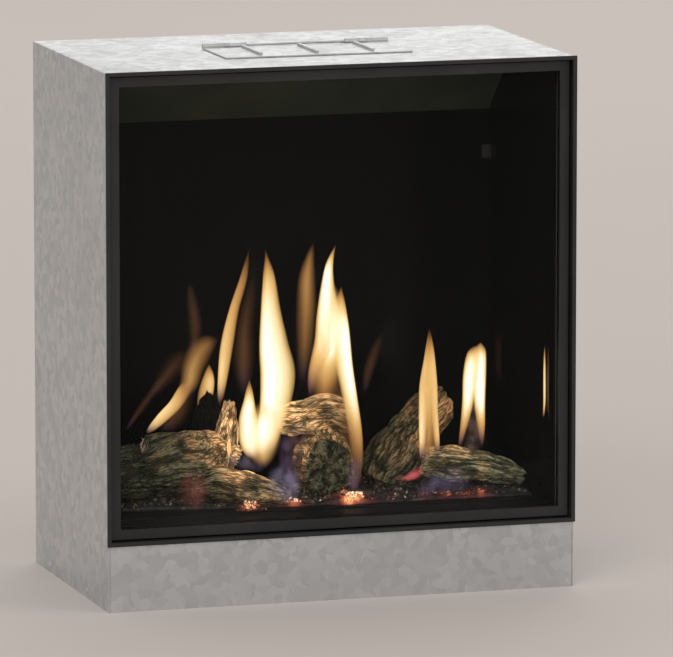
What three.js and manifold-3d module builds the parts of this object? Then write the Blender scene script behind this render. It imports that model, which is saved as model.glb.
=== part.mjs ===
// A glass-fronted log-effect gas fire that is built into a wall so that only its slim black edge frame shows.
// A galvanised case holds a sealed firebox lined with black glass. The window tilts forward on two pins, the
// logs lie on an ember bed over the burner tray, and the gas valve sits in the low chamber under the firebox.
// Millimetres. X is across, Y runs back from the front of the edge frame, Z is up from the base.

import * as THREE from 'three';
import { mergeVertices } from 'three/addons/utils/BufferGeometryUtils.js';
import Module from 'manifold-3d';

const wasm = await Module();
wasm.setup();

// Driving sizes
const frameWidth = 516;
const frameHeight = 500;
const controlHeight = 70;
const caseDepth = 300;
const collarReach = 40;
const innerPipeReach = 50;

// Sheet, clearances and the overrun that every cut shares
const caseSheet = 1.5;
const fireSheet = 1.2;
const fitGap = 0.3;
const flangeWidth = 12;
const overrun = 2;

// Case
const serviceWidth = 140;
const serviceHeight = 52;
const serviceCentreX = 100;
const screwShankRadius = 1.7;
const screwHeadRadius = 3.6;
const screwHeadHeight = 1.8;
const rivetHeadHeight = 1;
const screwLength = 5;
const screwSink = 0.2;
const screwClearance = 0.3;

// Edge frame, whose lip laps past the case and over the edge of the wall
const lipOverhang = 1.2;
const lipDepth = 2;
const returnSheet = 1.2;
const returnFlangeGap = 2;

// Window
const windowSetback = 8;
const windowDepth = 14;
const windowBar = 10.5;
const windowGap = 1.7;
const glassLip = 4;
const glassThickness = 4;
const glassBite = 4.5;
const sealThickness = 5.4;
const sealInset = 5;
const hingeRodRadius = 1.2;
const hingeSetback = 5;
const hingeRise = 3;
const catchLength = 330;
const catchWidth = 12;
const catchThickness = 1;
const catchFinger = 26;
const catchFingerCount = 3;
const beadThickness = 1.2;

// Firebox and its black glass lining
const rearAirGap = 38;
const fireboxFloorRise = 8;
const fireboxTopDrop = 14;
const linerSideGap = 12;
const linerThickness = 4;
const linerClipReach = 8;
const linerClipHeight = 14;
const linerClipDrop = 142;
const fireFlangeInset = 1.5;
const fluePlateWidth = 180;
const flueSlotHeight = 56;
const baffleFoot = 82;
const baffleSlope = 57 / 62;
const baffleRise = 62;
const baffleThickness = 2;
const baffleEarHeight = 12;
const standInset = 38;
const standBackGap = 2;
const standSetback = 60;
const standFlange = 14;

// Burner, ledge, ember bed and the pile of logs
const traySetback = 62;
const trayBackGap = 30;
const traySideGap = 10;
const trayRise = 18;
const trayPortWidth = 3;
const trayPortLength = 16;
const trayPortCount = 11;
const trayPortRows = 2;
const ledgeHeight = 7.5;
const bedSideMargin = 4;
const bedHeight = 9;
const bedSetbackLeft = 34;
const bedSetbackRight = 4;
const bedBackMargin = 8;
const bedCellsAcross = 30;
const bedCellsBack = 8;
const pileHeight = 120;
const logSegments = 16;
const logRings = 9;

// Venturi, air shutter and injector
const venturiOffset = 3;
const venturiRadius = 15;
const venturiWall = 1.5;
const venturiBaseHeight = 24;
const venturiBaseRadius = 18.5;
const venturiTopReach = 6;
const venturiFlangeRadius = 22;
const airWindowHeight = 14;
const airWindowWidth = 11;
const airWindowRise = 6;
const airWindowCount = 3;
const shutterWall = 1.5;
const shutterHeight = 19;
const shutterTabLength = 12;
const shutterTabWidth = 5;
const injectorRadius = 7.5;
const injectorBase = 4;
const injectorNoseRadius = 3;
const injectorNoseLength = 5;

// Gas valve and its controls
const valveX = -105;
const valveY = 95;
const valveWidth = 90;
const valveDepth = 50;
const valveHeight = 38;
const valveStand = 20;
const solenoidRadius = 11;
const solenoidHeight = 12;
const flowKnobRadius = 15;
const flowKnobDepth = 15;
const flowKnobOffset = -24;
const manualKnobRadius = 10;
const manualKnobDepth = 13;
const manualKnobOffset = 10;
const igniterRadius = 5;
const igniterDepth = 9;
const igniterTravel = 3;
const igniterOffset = 32;
const spindleRadius = 3;
const spindleDepth = 9;
const knobGap = 0.6;
const knobRibCount = 12;
const knobRib = 1.4;

// Pipes, tap and leads
const gasPipeRadius = 4;
const pilotPipeRadius = 2;
const leadRadius = 1.4;
const pipeBend = 14;
const pipeStep = 12;
const pipeSides = 8;
const nutRadius = 8;
const nutLength = 8;
const supplyX = 100;
const supplyHeight = 36;
const supplyBehindVenturi = 40;
const supplyDropX = -32;
const burnerPipeHeight = 12;
const tapLength = 54;
const tapRadius = 10;
const tapInset = 11;
const tapLeverLength = 42;
const tapLeverWidth = 8;
const tapLeverThickness = 3;
const tapStemRadius = 4;
const tapStemHeight = 6;

// Pilot
const pilotX = 52;
const pilotSetback = 17;
const pilotPlateSize = 34;
const pilotPlateThickness = 1.5;
const pilotRise = 22;
const pilotHoodRadius = 4;
const pilotSpacing = 10;
const pilotHoleRadius = 14;
const probeRadius = 2;

// Receiver
const receiverX = 118;
const receiverY = 105;
const receiverWidth = 96;
const receiverDepth = 60;
const receiverHeight = 28;
const lidWidth = 40;
const lidLength = 46;
const lidThickness = 2;
const lidRail = 2.5;
const lidLipOverlap = 1.2;

// Relief flap and flue
const reliefWidth = 190;
const reliefLength = 70;
const reliefSetback = 95;
const reliefOverlap = 8;
const reliefPinRadius = 1.3;
const reliefKnuckleWall = 1.4;
const reliefKnuckleLength = 24;
const flueDrop = 92;
const innerPipeRadius = 50;
const outerPipeRadius = 75;
const pipeWall = 1;
const collarFlangeRadius = 88;
const flueBoxMargin = 14;
const flueBoxDrop = 4;
const spacerWidth = 8;
const spacerLength = 8;
const pipeSegments = 28;

// Sides of small round parts, of larger ones, and of nuts
const smallSides = 12;
const largeSides = 16;
const nutSides = 6;

// Places that follow from the sizes
const halfWidth = frameWidth / 2;
const frameBottom = controlHeight;
const frameTop = frameBottom + frameHeight;
const overallDepth = caseDepth + innerPipeReach;
const caseHalf = halfWidth - lipOverhang;
const caseTop = frameTop - lipOverhang;
const sideInner = caseHalf - caseSheet;
const plateHalf = sideInner - fitGap;
const caseFront = lipDepth + fitGap;
const backFront = caseDepth - caseSheet;
const apronBack = caseFront + caseSheet;
const returnOuter = sideInner - fitGap;
const returnInner = returnOuter - returnSheet;
const lipWidth = halfWidth - returnInner;
const windowHalf = returnInner - windowGap;
const sightHalf = windowHalf - windowBar;
const windowDrop = halfWidth - windowHalf;
const windowBottom = frameBottom + windowDrop;
const windowTop = frameTop - windowDrop;
const windowBack = windowSetback + windowDepth;
const glassFront = windowSetback + glassLip + fitGap;
const glassBack = glassFront + glassThickness;
const sealFront = windowBack + fitGap;
const sealBack = sealFront + sealThickness;
const flangeFront = sealBack + fitGap;
const flangeBack = flangeFront + caseSheet;
const returnDepth = flangeFront - returnFlangeGap;
const hingeY = windowSetback + hingeSetback;
const hingeZ = windowBottom + hingeRise;
const linerFace = halfWidth - linerSideGap;
const linerBack = linerFace + linerThickness;
const fireInner = linerBack + fitGap;
const fireOuter = fireInner + fireSheet;
const fireFront = flangeBack + fitGap;
const backLinerFront = caseDepth - rearAirGap;
const backLinerBack = backLinerFront + linerThickness;
const fireBackFront = backLinerBack + fitGap;
const fireBackRear = fireBackFront + fireSheet;
const floorTop = frameBottom + fireboxFloorRise;
const floorBottom = floorTop - fireSheet;
const ceiling = frameTop - fireboxTopDrop;
const trayTop = frameBottom + trayRise;
const trayDepth = backLinerFront - trayBackGap - traySetback;
const trayBack = traySetback + trayDepth;
const trayHalfWidth = linerFace - traySideGap;
const bedHalfWidth = trayHalfWidth - bedSideMargin;
const bedBottom = trayTop + fitGap;
const venturiY = traySetback + trayDepth / 2 + venturiOffset;
const supplyY = venturiY + supplyBehindVenturi;
const baseTop = caseSheet + fitGap;
const standDepth = backLinerFront - standBackGap - standSetback;
const standSpacing = frameWidth - standInset * 2;
const linerClipRise = frameTop - linerClipDrop;
const flueHeight = frameTop - flueDrop;
const baffleBottom = ceiling - baffleFoot + baffleThickness * 4;
const flueSlotTop = ceiling - reliefOverlap;
const flueSlotBottom = flueSlotTop - flueSlotHeight;

function solid(geometry) {
  const plain = geometry.clone();
  plain.deleteAttribute('normal');
  plain.deleteAttribute('uv');
  const merged = mergeVertices(plain);
  const triangles = Uint32Array.from(merged.index.array);
  const points = Float32Array.from(merged.attributes.position.array);
  const body = new wasm.Manifold(new wasm.Mesh({ numProp: 3, vertProperties: points, triVerts: triangles }));
  if (body.volume() > 0) return body;
  for (let i = 0; i < triangles.length; i += 3) {
    [triangles[i], triangles[i + 1]] = [triangles[i + 1], triangles[i]];
  }
  return new wasm.Manifold(new wasm.Mesh({ numProp: 3, vertProperties: points, triVerts: triangles }));
}

function geometryOf(body) {
  const mesh = body.getMesh();
  const geometry = new THREE.BufferGeometry();
  geometry.setAttribute('position', new THREE.BufferAttribute(mesh.vertProperties, 3));
  geometry.setIndex(new THREE.BufferAttribute(mesh.triVerts, 1));
  geometry.computeVertexNormals();
  return geometry;
}

const join = (...bodies) => bodies.reduce((whole, body) => whole.add(body));
const cut = (body, ...tools) => tools.reduce((rest, tool) => rest.subtract(tool), body);

// A box between two corners
function block([x0, y0, z0], [x1, y1, z1]) {
  const geometry = new THREE.BoxGeometry(x1 - x0, y1 - y0, z1 - z0);
  return solid(geometry.translate((x0 + x1) / 2, (y0 + y1) / 2, (z0 + z1) / 2));
}

// A round bar from one point along x, y or z, which narrows or widens to its end radius
function taper(axis, [x, y, z], length, radius, endRadius, segments = 20) {
  const geometry = new THREE.CylinderGeometry(endRadius, radius, length, segments);
  geometry.translate(0, length / 2, 0);
  if (axis === 'x') geometry.rotateZ(-Math.PI / 2);
  if (axis === 'z') geometry.rotateX(Math.PI / 2);
  return solid(geometry.translate(x, y, z));
}

const rod = (axis, at, length, radius, segments = 20) => taper(axis, at, length, radius, radius, segments);

function tube(axis, at, length, outer, inner, segments = 20) {
  const start = [...at];
  start['xyz'.indexOf(axis)] -= overrun;
  return cut(rod(axis, at, length, outer, segments),
    rod(axis, start, length + overrun * 2, inner, segments));
}

// A pipe through the given points, with its corners rounded to the bend radius
function pipe(points, radius, bend = pipeBend) {
  const corners = points.map((point) => new THREE.Vector3(...point));
  const path = new THREE.CurvePath();
  let from = corners[0];
  for (let i = 1; i < corners.length - 1; i += 1) {
    const before = corners[i - 1].clone().sub(corners[i]);
    const after = corners[i + 1].clone().sub(corners[i]);
    const reach = Math.min(bend, before.length() / 2, after.length() / 2);
    const start = corners[i].clone().addScaledVector(before.normalize(), reach);
    const end = corners[i].clone().addScaledVector(after.normalize(), reach);
    path.add(new THREE.LineCurve3(from, start));
    path.add(new THREE.QuadraticBezierCurve3(start, corners[i], end));
    from = end;
  }
  path.add(new THREE.LineCurve3(from, corners[corners.length - 1]));
  const section = new THREE.Shape().absarc(0, 0, radius, 0, Math.PI * 2);
  const steps = Math.ceil(path.getLength() / pipeStep);
  const options = { steps, extrudePath: path, curveSegments: pipeSides / 2, bevelEnabled: false };
  return solid(new THREE.ExtrudeGeometry(section, options));
}

// A rectangular ring, upright and square to Y
function uprightRing([outerX, outerZ0, outerZ1], inset, y0, y1) {
  return cut(
    block([-outerX, y0, outerZ0], [outerX, y1, outerZ1]),
    block([-outerX + inset, y0 - overrun, outerZ0 + inset], [outerX - inset, y1 + overrun, outerZ1 - inset]),
  );
}

const fire = new THREE.Group();
fire.position.y = -overallDepth / 2;

const finishes = {
  galvanised: { color: 0x9fa3a4, roughness: 0.42, metalness: 0.85 },
  blackPaint: { color: 0x17171a, roughness: 0.45, metalness: 0.2 },
  blackGlass: { color: 0x08080a, roughness: 0.06, metalness: 0 },
  clearGlass: { color: 0xd8e4e0, roughness: 0.04, metalness: 0, transparent: true, opacity: 0.25 },
  rope: { color: 0x6f6a62, roughness: 0.95, metalness: 0 },
  ember: { color: 0x2b2724, roughness: 0.95, metalness: 0 },
  bark: { color: 0x6b5f49, roughness: 0.95, metalness: 0 },
  charred: { color: 0x121110, roughness: 0.95, metalness: 0 },
  steel: { color: 0xb7b9ba, roughness: 0.35, metalness: 0.95 },
  brass: { color: 0xb8924a, roughness: 0.35, metalness: 0.95 },
  copper: { color: 0xb06a44, roughness: 0.35, metalness: 0.95 },
  castAlloy: { color: 0x8d9092, roughness: 0.5, metalness: 0.8 },
  blackPlastic: { color: 0x1b1b1d, roughness: 0.5, metalness: 0 },
  redPlastic: { color: 0x9c2019, roughness: 0.45, metalness: 0 },
  ceramic: { color: 0xe6e1d6, roughness: 0.5, metalness: 0 },
};
const materials = Object.fromEntries(
  Object.entries(finishes).map(([name, look]) => [name, new THREE.MeshStandardMaterial(look)]),
);

function piece(name, body, finish) {
  const mesh = new THREE.Mesh(geometryOf(body), materials[finish]);
  mesh.name = name;
  fire.add(mesh);
  return mesh;
}

// Captive screws, each a shank under a slightly domed head, and the clearance holes that they need
const screwSegments = 6;

function screw(axis, [x, y, z], direction, headHeight) {
  const place = 'xyz'.indexOf(axis);
  const at = (low) => [x, y, z].map((value, i) => (i === place ? value + low : value));
  const domeRadius = screwHeadRadius * 0.7;
  const [near, far] = direction > 0 ? [screwHeadRadius, domeRadius] : [domeRadius, screwHeadRadius];
  const headLow = direction > 0 ? -screwSink : screwSink - headHeight;
  const shankLow = direction > 0 ? -screwLength : -screwSink;
  return join(
    taper(axis, at(headLow), headHeight, near, far, screwSegments),
    rod(axis, at(shankLow), screwLength + screwSink, screwShankRadius, screwSegments),
  );
}

function screwHole(axis, [x, y, z]) {
  const start = [x, y, z];
  start['xyz'.indexOf(axis)] -= screwLength * 2;
  const radius = screwShankRadius + screwClearance;
  return rod(axis, start, screwLength * 4, radius, screwSegments);
}

// Screw places: three up each edge of the back, two at the top and base of each side, and four round the
// flue collar
const sides = [-1, 1];
const ordered = (a, b) => [Math.min(a, b), Math.max(a, b)];
const flangeMiddle = plateHalf - flangeWidth / 2;
const backScrews = sides.flatMap((side) => [-1, 0, 1].map((level) => (
  [side * flangeMiddle, caseDepth, caseTop / 2 + level * (caseTop / 2 - flangeWidth * 3)])));
const rivets = (side) => [0.3, 0.8].flatMap((share) => [
  [side * caseHalf, caseDepth * share, caseTop - caseSheet - flangeWidth / 2],
  [side * caseHalf, caseDepth * share, caseSheet + flangeWidth / 2],
]);
const collarScrewRadius = (outerPipeRadius + collarFlangeRadius) / 2;
const collarScrews = [1, 3, 5, 7].map((eighth) => [
  Math.cos(eighth * Math.PI / 4) * collarScrewRadius,
  caseDepth + fitGap + caseSheet,
  flueHeight + Math.sin(eighth * Math.PI / 4) * collarScrewRadius,
]);

// Case: folded sheet panels, the side ones with a flange that the back is screwed to
function caseSide(side) {
  const rear = backFront - fitGap;
  const [webLow, webHigh] = ordered(side * caseHalf, side * sideInner);
  const [foldLow, foldHigh] = ordered(side * caseHalf, side * (sideInner - flangeWidth));
  const flange = block([foldLow, rear - caseSheet, flangeWidth * 2],
    [foldHigh, rear, caseTop - flangeWidth * 2]);
  const panel = join(block([webLow, caseFront, 0], [webHigh, caseDepth, caseTop]), flange);
  return join(
    cut(panel, ...backScrews.filter(([x]) => x * side > 0).map((at) => screwHole('y', at))),
    ...rivets(side).map((at) => screw('x', at, side, rivetHeadHeight)),
  );
}

// A flat plate between the sides with a flange along each, which the side rivets enter
function casePlate(front, sheetLow, foldLow, foldFront) {
  const foldRear = backFront - fitGap * 2 - caseSheet;
  const folds = sides.map((side) => {
    const [low, high] = ordered(side * plateHalf, side * (plateHalf - caseSheet));
    return block([low, foldFront, foldLow], [high, foldRear, foldLow + flangeWidth]);
  });
  return cut(
    join(block([-plateHalf, front, sheetLow], [plateHalf, caseDepth, sheetLow + caseSheet]), ...folds),
    ...sides.flatMap(rivets).map((at) => screwHole('x', at)),
  );
}

const reliefBack = reliefSetback + reliefLength;
const foldFront = returnDepth + flangeWidth;

function caseParts() {
  piece('case_left', caseSide(-1), 'galvanised');
  piece('case_right', caseSide(1), 'galvanised');

  piece('case_base', casePlate(apronBack + fitGap, 0, 0, foldFront), 'galvanised');

  const reliefHole = block([-reliefWidth / 2, reliefSetback, caseTop - caseSheet - overrun],
    [reliefWidth / 2, reliefBack, caseTop + overrun]);
  piece('case_top', cut(casePlate(caseFront, caseTop - caseSheet, caseTop - flangeWidth, foldFront),
    reliefHole),
    'galvanised');

  const airHole = rod('y', [0, backFront - overrun, flueHeight], caseSheet + overrun * 2,
    outerPipeRadius - pipeWall, pipeSegments);
  const service = block([serviceCentreX - serviceWidth / 2, backFront - overrun, flangeWidth],
    [serviceCentreX + serviceWidth / 2, caseDepth + overrun, flangeWidth + serviceHeight]);
  const back = cut(block([-plateHalf, backFront, baseTop], [plateHalf, caseDepth, caseTop - baseTop]),
    airHole, service, ...collarScrews.map((at) => screwHole('y', at)));
  piece('case_back', join(back, ...backScrews.map((at) => screw('y', at, 1, screwHeadHeight))), 'galvanised');

  const apronTop = frameBottom + halfWidth - returnOuter - fitGap;
  const apronFolds = sides.map((side) => {
    const [low, high] = ordered(side * plateHalf, side * (plateHalf - caseSheet));
    return block([low, caseFront, flangeWidth * 2], [high, caseFront + flangeWidth, apronTop]);
  });
  piece('case_apron', join(block([-plateHalf, caseFront, 0], [plateHalf, apronBack, apronTop]),
    ...apronFolds),
    'galvanised');
}

// The bore that the window's hinge rod passes through, from side to side
function hingeBore(half) {
  const radius = hingeRodRadius + fitGap;
  return rod('x', [-half, hingeY, hingeZ], half * 2, radius, smallSides);
}

// Edge frame: a flat lip that shows in the wall, and a return that lines the opening back to the firebox
function edgeFrame() {
  const lip = uprightRing([halfWidth, frameBottom, frameTop], lipWidth, 0, lipDepth);
  const drop = halfWidth - returnOuter;
  const liningRing = uprightRing([returnOuter, frameBottom + drop, frameTop - drop], returnSheet,
    lipDepth / 2, returnDepth);
  piece('edge_frame', cut(join(lip, liningRing), hingeBore(returnOuter + overrun)), 'blackPaint');
}

// Window: a folded frame round heat-proof glass, with a rope seal behind and a pin at each foot
function windowParts() {
  const front = uprightRing([windowHalf, windowBottom, windowTop], windowBar, windowSetback, windowBack);
  const rebateEdge = sightHalf + glassBite + fitGap;
  const rebateDrop = windowHalf - rebateEdge;
  const rebate = block(
    [-rebateEdge, windowSetback + glassLip, windowBottom + rebateDrop],
    [rebateEdge, windowBack + overrun, windowTop - rebateDrop],
  );
  piece('window_frame', cut(front, rebate, hingeBore(windowHalf + overrun)), 'blackPaint');

  const glassEdge = rebateEdge - fitGap;
  const glassDrop = windowHalf - glassEdge;
  piece('window_glass', block(
    [-glassEdge, glassFront, windowBottom + glassDrop],
    [glassEdge, glassBack, windowTop - glassDrop],
  ), 'clearGlass');

  const sealHalf = windowHalf - sealInset + sealThickness / 2;
  const sealDrop = windowHalf - sealHalf;
  piece('window_seal', uprightRing([sealHalf, windowBottom + sealDrop, windowTop - sealDrop],
    sealThickness, sealFront, sealBack), 'rope');

  const rodHalf = returnOuter - fitGap;
  piece('window_hinge_rod', rod('x', [-rodHalf, hingeY, hingeZ], rodHalf * 2, hingeRodRadius, smallSides),
    'steel');

  // A thin bead that holds the glass in its rebate
  const beadDrop = windowHalf - glassEdge;
  piece('glass_bead', uprightRing([glassEdge, windowBottom + beadDrop, windowTop - beadDrop],
    glassBite - fitGap, glassBack + fitGap, glassBack + fitGap + beadThickness), 'steel');

  // A strip under the top of the edge frame, whose fingers grip the top of the window
  const catchTop = frameTop - (halfWidth - returnInner) - fitGap;
  const strip = block([-catchLength / 2, windowSetback + catchWidth / 2, catchTop - catchThickness],
    [catchLength / 2, windowSetback + catchWidth, catchTop]);
  const fingers = [];
  for (let i = 0; i < catchFingerCount; i += 1) {
    const x = (i / (catchFingerCount - 1) - 0.5) * (catchLength - catchFinger);
    fingers.push(block([x - catchFinger / 2, windowSetback, catchTop - catchThickness],
      [x + catchFinger / 2, windowSetback + catchWidth, catchTop]));
  }
  piece('window_catch', join(strip, ...fingers), 'steel');
}

// Relief path through the firebox ceiling and the case top, closed by a hinged flap
const reliefFlapLow = caseTop + fitGap;
const reliefKnuckleRadius = reliefPinRadius + fitGap + reliefKnuckleWall;
const reliefHingeY = reliefBack + reliefOverlap + reliefKnuckleRadius + fitGap;
const reliefHingeZ = reliefFlapLow + reliefKnuckleRadius;

function reliefParts() {
  const ductWall = fireSheet;
  const low = ceiling + fireSheet + fitGap;
  const high = caseTop - caseSheet - fitGap;
  piece('relief_duct', cut(
    block([-reliefWidth / 2 - ductWall * 2, reliefSetback - ductWall * 2, low],
      [reliefWidth / 2 + ductWall * 2, reliefBack + ductWall * 2, high]),
    block([-reliefWidth / 2, reliefSetback, low - overrun], [reliefWidth / 2, reliefBack, high + overrun]),
  ), 'blackPaint');

  const flapHalf = reliefWidth / 2 + reliefOverlap;
  const flapTop = reliefFlapLow + caseSheet;
  const bore = (axisStart, length) =>
    rod('x', [axisStart, reliefHingeY, reliefHingeZ], length, reliefPinRadius + fitGap, smallSides);
  const knuckle = (start, length) => join(
    rod('x', [start, reliefHingeY, reliefHingeZ], length, reliefKnuckleRadius, smallSides),
    block([start, reliefBack + reliefOverlap - overrun, reliefFlapLow],
      [start + length, reliefHingeY, flapTop]),
  );
  const ribHeight = reliefKnuckleRadius;
  const flap = join(
    block([-flapHalf, reliefSetback - reliefOverlap, reliefFlapLow],
      [flapHalf, reliefBack + reliefOverlap, flapTop]),
    ...[-1, 0, 1].map((place) => block(
      [place * flapHalf * 0.6 - caseSheet, reliefSetback, reliefFlapLow],
      [place * flapHalf * 0.6 + caseSheet, reliefBack, flapTop + ribHeight])),
    knuckle(-flapHalf, reliefKnuckleLength),
    knuckle(flapHalf - reliefKnuckleLength, reliefKnuckleLength),
  );
  piece('relief_flap', cut(flap, bore(-flapHalf - overrun, flapHalf * 2 + overrun * 2)), 'galvanised');

  const inner = flapHalf - reliefKnuckleLength - fitGap;
  const lugs = sides.map((side) => {
    const start = side > 0 ? inner - reliefKnuckleLength : -inner;
    return join(
      rod('x', [start, reliefHingeY, reliefHingeZ], reliefKnuckleLength, reliefKnuckleRadius, smallSides),
      block([start, reliefHingeY, reliefFlapLow],
        [start + reliefKnuckleLength, reliefHingeY + reliefKnuckleRadius + flangeWidth, flapTop]),
    );
  });
  const pin = rod('x', [-flapHalf, reliefHingeY, reliefHingeZ], flapHalf * 2, reliefPinRadius, smallSides);
  piece('relief_hinge', join(...lugs, pin), 'galvanised');
}

// Firebox: floor, ceiling and a wrap that makes the two sides and the back
function fireboxParts() {
  piece('firebox_flange',
    uprightRing([plateHalf, frameBottom + halfWidth - plateHalf, frameTop - halfWidth + plateHalf],
    plateHalf - sightHalf - fireFlangeInset, flangeFront, flangeBack), 'blackPaint');

  const venturiHole = rod('z', [0, venturiY, floorBottom - overrun], fireSheet + overrun * 2,
    venturiRadius + fitGap);
  const pilotY = trayBack + pilotSetback;
  const pilotHole = rod('z', [pilotX, pilotY, floorBottom - overrun], fireSheet + overrun * 2,
    pilotHoleRadius, largeSides);
  piece('firebox_floor', cut(
    block([-fireOuter, fireFront, floorBottom], [fireOuter, fireBackRear, floorTop]), venturiHole, pilotHole,
  ), 'blackPaint');

  piece('firebox_ceiling', cut(
    block([-fireOuter, fireFront, ceiling], [fireOuter, fireBackRear, ceiling + fireSheet]),
    block([-reliefWidth / 2, reliefSetback, ceiling - overrun],
      [reliefWidth / 2, reliefBack, ceiling + fireSheet + overrun]),
  ), 'blackPaint');

  piece('firebox_wrap', cut(
    block([-fireOuter, fireFront, floorTop + fitGap], [fireOuter, fireBackRear, ceiling - fitGap]),
    block([-fireInner, fireFront - overrun, floorTop - overrun],
      [fireInner, fireBackFront, ceiling + overrun]),
    block([-fluePlateWidth / 2, fireBackFront - overrun, flueSlotBottom],
      [fluePlateWidth / 2, fireBackRear + overrun, flueSlotTop]),
  ), 'blackPaint');

  const standHigh = floorBottom - fitGap;
  const standRear = standSetback + standDepth;
  const webs = sides.map((side) => {
    const web = side * standSpacing / 2;
    const [x0, x1] = ordered(web, web + side * caseSheet);
    const [f0, f1] = ordered(web + side * caseSheet, web - side * standFlange);
    return join(
      block([x0, standSetback, baseTop], [x1, standRear, standHigh]),
      block([f0, standSetback, standHigh - caseSheet], [f1, standRear, standHigh]),
    );
  });
  const half = standSpacing / 2 + caseSheet;
  const tie = block([-half, standRear - standFlange, baseTop], [half, standRear, baseTop + caseSheet]);
  piece('firebox_stand', join(...webs, tie), 'galvanised');

  const linerLow = floorTop + fitGap;
  const linerHigh = ceiling - fitGap * 2;
  const sideRear = backLinerFront - fitGap;
  piece('liner_left', block([-linerBack, fireFront, linerLow], [-linerFace, sideRear, linerHigh]),
    'blackGlass');
  piece('liner_right', block([linerFace, fireFront, linerLow], [linerBack, sideRear, linerHigh]),
    'blackGlass');
  piece('liner_back', block([-linerBack, backLinerFront, linerLow],
    [linerBack, backLinerBack, baffleBottom - fitGap]), 'blackGlass');

  // An angle clip in each rear corner that ties a side panel of the lining to the back one
  for (const side of sides) {
    const face = linerFace - fitGap;
    const [x0, x1] = ordered(side * face, side * (face - linerClipReach));
    const [w0, w1] = ordered(side * face, side * (face - fireSheet));
    const rear = backLinerFront - fitGap;
    piece(side < 0 ? 'liner_clip_left' : 'liner_clip_right', join(
      block([x0, rear - fireSheet, linerClipRise], [x1, rear, linerClipRise + linerClipHeight]),
      block([w0, rear - linerClipReach, linerClipRise], [w1, rear, linerClipRise + linerClipHeight]),
    ), 'steel');
  }

  // Baffle: a plate that slopes forward and up from the top of the back panel, with a lip along its foot
  const baffleHalf = linerFace - fitGap;
  const profile = new THREE.Shape();
  const run = baffleRise / baffleSlope;
  const rear = backLinerBack - fitGap;
  const slant = baffleThickness * Math.hypot(1, 1 / baffleSlope);
  profile.moveTo(rear, baffleBottom);
  profile.lineTo(rear, baffleBottom + baffleEarHeight);
  profile.lineTo(rear - baffleThickness, baffleBottom + baffleEarHeight);
  profile.lineTo(rear - baffleThickness, baffleBottom + baffleThickness);
  profile.lineTo(backLinerFront, baffleBottom + slant);
  profile.lineTo(backLinerFront - run, baffleBottom + baffleRise + slant);
  profile.lineTo(backLinerFront - run, baffleBottom + baffleRise);
  profile.lineTo(backLinerFront, baffleBottom);
  const plate = new THREE.ExtrudeGeometry(profile, { depth: baffleHalf * 2, bevelEnabled: false });
  plate.rotateX(Math.PI / 2).rotateZ(Math.PI / 2).translate(-baffleHalf, 0, 0);
  piece('baffle', solid(plate), 'blackPaint');
}

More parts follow.
